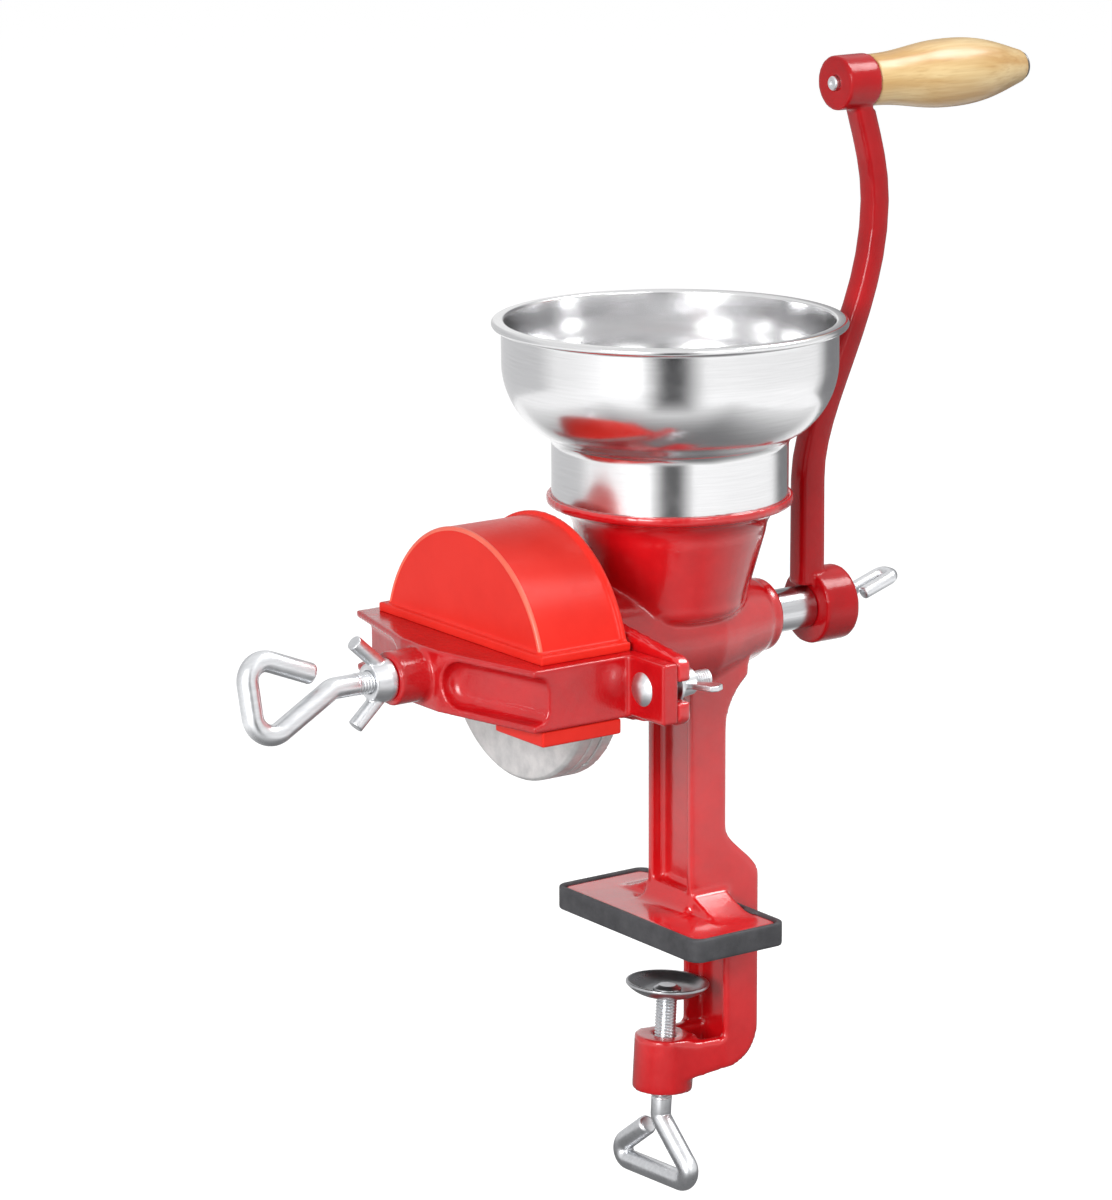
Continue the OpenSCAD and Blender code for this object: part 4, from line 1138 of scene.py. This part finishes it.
@dataclass(frozen=True)
class Flag:
    """A grey card that only glossy surfaces reflect, placed by its turn from the camera about the hopper."""

    name: str
    colour: Colour
    half: Point
    soft: float
    rise: float
    turn: float = 0.0
    distance: float = 0.0
    lies: bool = False

    def cloth(self) -> bpy.types.Material:
        """Builds the card's cloth, which fades to white at its edges.

        Returns:
            The material.
        """
        finish = Finish(self.name)
        tree = finish.tree
        spot = tree.add("ShaderNodeSeparateXYZ", {0: tree.add("ShaderNodeTexCoord").outputs["Object"]}).outputs
        fades = []
        for axis, half in enumerate(self.half):
            reach = tree.math("DIVIDE", tree.math("ABSOLUTE", spot[axis]), half)
            fades.append(tree.add("ShaderNodeMapRange", {"Value": reach, "From Min": 1 - self.soft, "From Max": 1.0},
                                  interpolation_type="SMOOTHSTEP").outputs[0])
        finish.set(Base_Color=(0, 0, 0, 1), Roughness=0.9, Specular_IOR_Level=0.0, Emission_Strength=1.0,
                   Emission_Color=tree.mix(tree.math("MAXIMUM", fades[0], fades[1]), self.colour, (1, 1, 1, 1)))
        return finish.material

    def hang(self, facing: float, floor: float) -> None:
        """Hangs the card above the floor.

        Args:
            facing: Direction of the camera, as an angle about Z.
            floor: Height of the floor.
        """
        wide, tall = self.half
        mesh = bpy.data.meshes.new(self.name)
        mesh.from_pydata([(-wide, -tall, 0), (wide, -tall, 0), (wide, tall, 0), (-wide, tall, 0)], [], [(0, 1, 2, 3)])
        mesh.materials.append(self.cloth())
        card = link(self.name, mesh)
        turn = facing + math.radians(self.turn)
        card.location = (self.distance * math.cos(turn), self.distance * math.sin(turn), floor + self.rise)
        card.rotation_euler = (0 if self.lies else math.pi / 2, 0, turn + math.pi / 2)
        card.visible_camera = card.visible_diffuse = card.visible_shadow = False
        card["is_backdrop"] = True


@dataclass
class Studio:
    """Camera, floor, lamps and the cards that give the steel its dark bands."""

    target: Place = (-0.0296, -0.0420, 0.1540)
    camera_place: Place = (1.6478, -1.2220, 0.6427)
    lens: float = 139.83
    roll: float = -0.25
    clamp_room: float = 18.0 * MM
    fill: float = 0.25
    floor_glow: float = 0.9
    softboxes: tuple[Softbox, ...] = (
        Softbox("key_softbox", (1.30, -2.30, 0.95), size=(1.2, 1.2), watts=64.0),
        Softbox("side_softbox", (2.45, -0.2, 1.55), size=(1.0, 1.4), watts=18.0),
        Softbox("top_softbox", (0.55, 1.25, 1.95), size=(0.9, 0.9), watts=30.0),
    )
    flags: tuple[Flag, ...] = (
        Flag("front_flag", srgb(66, 66, 68), half=(0.17, 0.44), soft=0.85, turn=2.0, distance=0.5, rise=0.35),
        Flag("left_flag", srgb(222, 222, 223), half=(0.95, 0.75), soft=0.45, turn=-128.0, distance=1.0, rise=0.4),
        Flag("back_flag", srgb(136, 136, 138), half=(0.6, 0.75), soft=0.5, turn=150.0, distance=0.9, rise=0.4),
        # the grey card lying under the mill is a painted shadow on the floor, seen only in reflections in the steel
        Flag("floor_shadow_flag", srgb(132, 132, 133), half=(0.6, 0.6), soft=0.8, rise=2 * MM, lies=True),
    )

    def camera(self) -> None:
        """Places the camera at the photograph's viewing angle."""
        data = bpy.data.cameras.new("camera")
        data.lens = self.lens
        data.sensor_width = 36
        data.sensor_fit = "AUTO"
        camera = bpy.data.objects.new("camera", data)
        camera.location = self.camera_place
        look = (Vector(self.target) - camera.location).to_track_quat("-Z", "Y")
        camera.rotation_mode = "QUATERNION"
        camera.rotation_quaternion = look @ Quaternion((0, 0, 1), math.radians(self.roll))
        bpy.context.scene.collection.objects.link(camera)
        bpy.context.scene.camera = camera

    def lamps(self) -> None:
        """Hangs the soft lamps."""
        for box in self.softboxes:
            data = bpy.data.lights.new(box.name, "AREA")
            data.shape = "RECTANGLE"
            data.size, data.size_y = box.size
            data.energy = box.watts
            lamp = bpy.data.objects.new(box.name, data)
            lamp.location = box.place
            lamp.rotation_euler = (Vector(self.target) - lamp.location).to_track_quat("-Z", "Y").to_euler()
            bpy.context.scene.collection.objects.link(lamp)

    def world(self) -> None:
        """Sets a white surround that lights the mill softly from all sides."""
        world = bpy.data.worlds.new("surround")
        world.use_nodes = True
        world.node_tree.nodes.clear()
        tree = Tree(world.node_tree)
        share = tree.remap(seen_as_backdrop(tree), 0.0, 1.0, self.fill, 1.0)
        light = tree.add("ShaderNodeBackground", {"Color": (1, 1, 1, 1), "Strength": share})
        out = tree.add("ShaderNodeOutputWorld")
        tree.feed(out.inputs["Surface"], light.outputs[0])
        bpy.context.scene.world = world

    def floor(self, height: float) -> None:
        """Lays the pale floor.

        Args:
            height: Height of the floor.
        """
        half = 9.0
        corners = [(-half, -half, height), (half, -half, height), (half, half, height), (-half, half, height)]
        mesh = bpy.data.meshes.new("floor")
        mesh.from_pydata(corners, [], [(0, 1, 2, 3)])
        floor = link("floor", mesh)
        finish = Finish("pale_floor")
        cloud = finish.effect(Effect.MOTTLE, Scale=3.0, Low=0.7, High=0.8)
        glow = finish.tree.math("MULTIPLY", seen_as_backdrop(finish.tree), self.floor_glow)
        finish.set(Base_Color=srgb(160, 160, 160), Roughness=cloud["Value"], Specular_IOR_Level=0.0,
                   Emission_Color=(1, 1, 1, 1), Emission_Strength=glow)
        mesh.materials.append(finish.material)
        floor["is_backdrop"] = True

    def build(self, lowest: float) -> None:
        """Builds the studio.

        Args:
            lowest: Height of the mill's lowest point.
        """
        self.camera()
        self.lamps()
        self.world()
        ground = lowest - self.clamp_room
        self.floor(ground)
        facing = math.atan2(self.camera_place[1], self.camera_place[0])
        for flag in self.flags:
            flag.hang(facing, ground)
        bpy.context.scene.view_settings.view_transform = "Standard"


def finishes() -> dict[str, bpy.types.Material]:
    """Builds every finish of the mill.

    Returns:
        The materials by name.
    """
    enamel = Surface("red_enamel", srgb(196, 12, 19), srgb(214, 18, 25), drift=38.0, gloss=(150.0, 0.16, 0.27),
                     grain=(0.12, 0.9, 900.0), relief=(0.55, 0.6 * MM), coat=0.7)
    plastic = Surface("red_plastic", srgb(225, 42, 32), srgb(234, 50, 39), drift=22.0, gloss=(400.0, 0.30, 0.38),
                      grain=(0.25, 0.2, 1600.0), relief=(0.2, 0.3 * MM), shine=0.16)
    looks = (
        enamel,
        replace(enamel, name="rough_enamel", dark=srgb(180, 10, 17), light=srgb(199, 15, 22),
                grain=(0.5, 1.1, 900.0), coat=0.4, shine=0.4),
        # darker red with less gloss for the crank arm; the darker colour is painted shade
        replace(enamel, name="painted_shade_enamel", dark=srgb(166, 8, 16), light=srgb(182, 12, 20), coat=0.2, shine=0.2),
        plastic,
        # the guard bead's plastic is lighter than the guard's own: a painted highlight along the bead
        replace(plastic, name="painted_highlight_plastic", dark=srgb(240, 84, 64), light=srgb(246, 112, 88), shine=0.5),
        BrightSteel("stainless", srgb(228, 228, 229), srgb(212, 212, 213), rough=(0.16, 0.22), around=1.0,
                    fineness=1500.0, depth=0.01 * MM),
        BrightSteel("ground_steel", srgb(214, 215, 217), srgb(180, 181, 184), rough=(0.16, 0.26), fineness=900.0),
        BrightSteel("zinc", srgb(232, 233, 235), srgb(196, 198, 201), rough=(0.26, 0.4)),
        BrightSteel("cup_steel", srgb(190, 191, 193), srgb(150, 151, 154), rough=(0.24, 0.36), around=1.0),
        BrightSteel("dark_steel", srgb(104, 102, 100), srgb(70, 68, 66), rough=(0.3, 0.42)),
        Surface("tinned_iron", srgb(198, 197, 197), srgb(222, 220, 219), drift=120.0, gloss=(260.0, 0.38, 0.58),
                grain=(0.7, 0.4, 1200.0), relief=(0.5, 0.3 * MM), metal=0.35),
        Surface("rubber", srgb(62, 62, 65), srgb(78, 78, 81), drift=90.0, gloss=(200.0, 0.5, 0.68),
                grain=(0.6, 0.3, 1500.0), relief=(0.35, 0.3 * MM), shine=0.35),
        Wood(),
    )
    return {look.name: look.build() for look in looks}


def main() -> None:
    """Builds the mill's sub-assemblies and the studio in order."""
    logging.basicConfig(level=logging.INFO, format="%(message)s")
    for piece in list(bpy.data.objects):
        bpy.data.objects.remove(piece)
    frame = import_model()
    solid_box = [list(corner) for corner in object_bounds()]
    bodies = {node: body for body, nodes in frame["record"]["behaviour"]["bodies"].items() for node in nodes}
    dresser = Dresser(frame["nodes"], bodies, finishes())
    for assembly in (Castings, Mouldings, Hopper, Shaft, Plates, BentScrews, YokeFasteners, CrankFittings):
        assembly(dresser).build()
    Studio().build(solid_box[0][2])


if __name__ == "__main__":
    main()
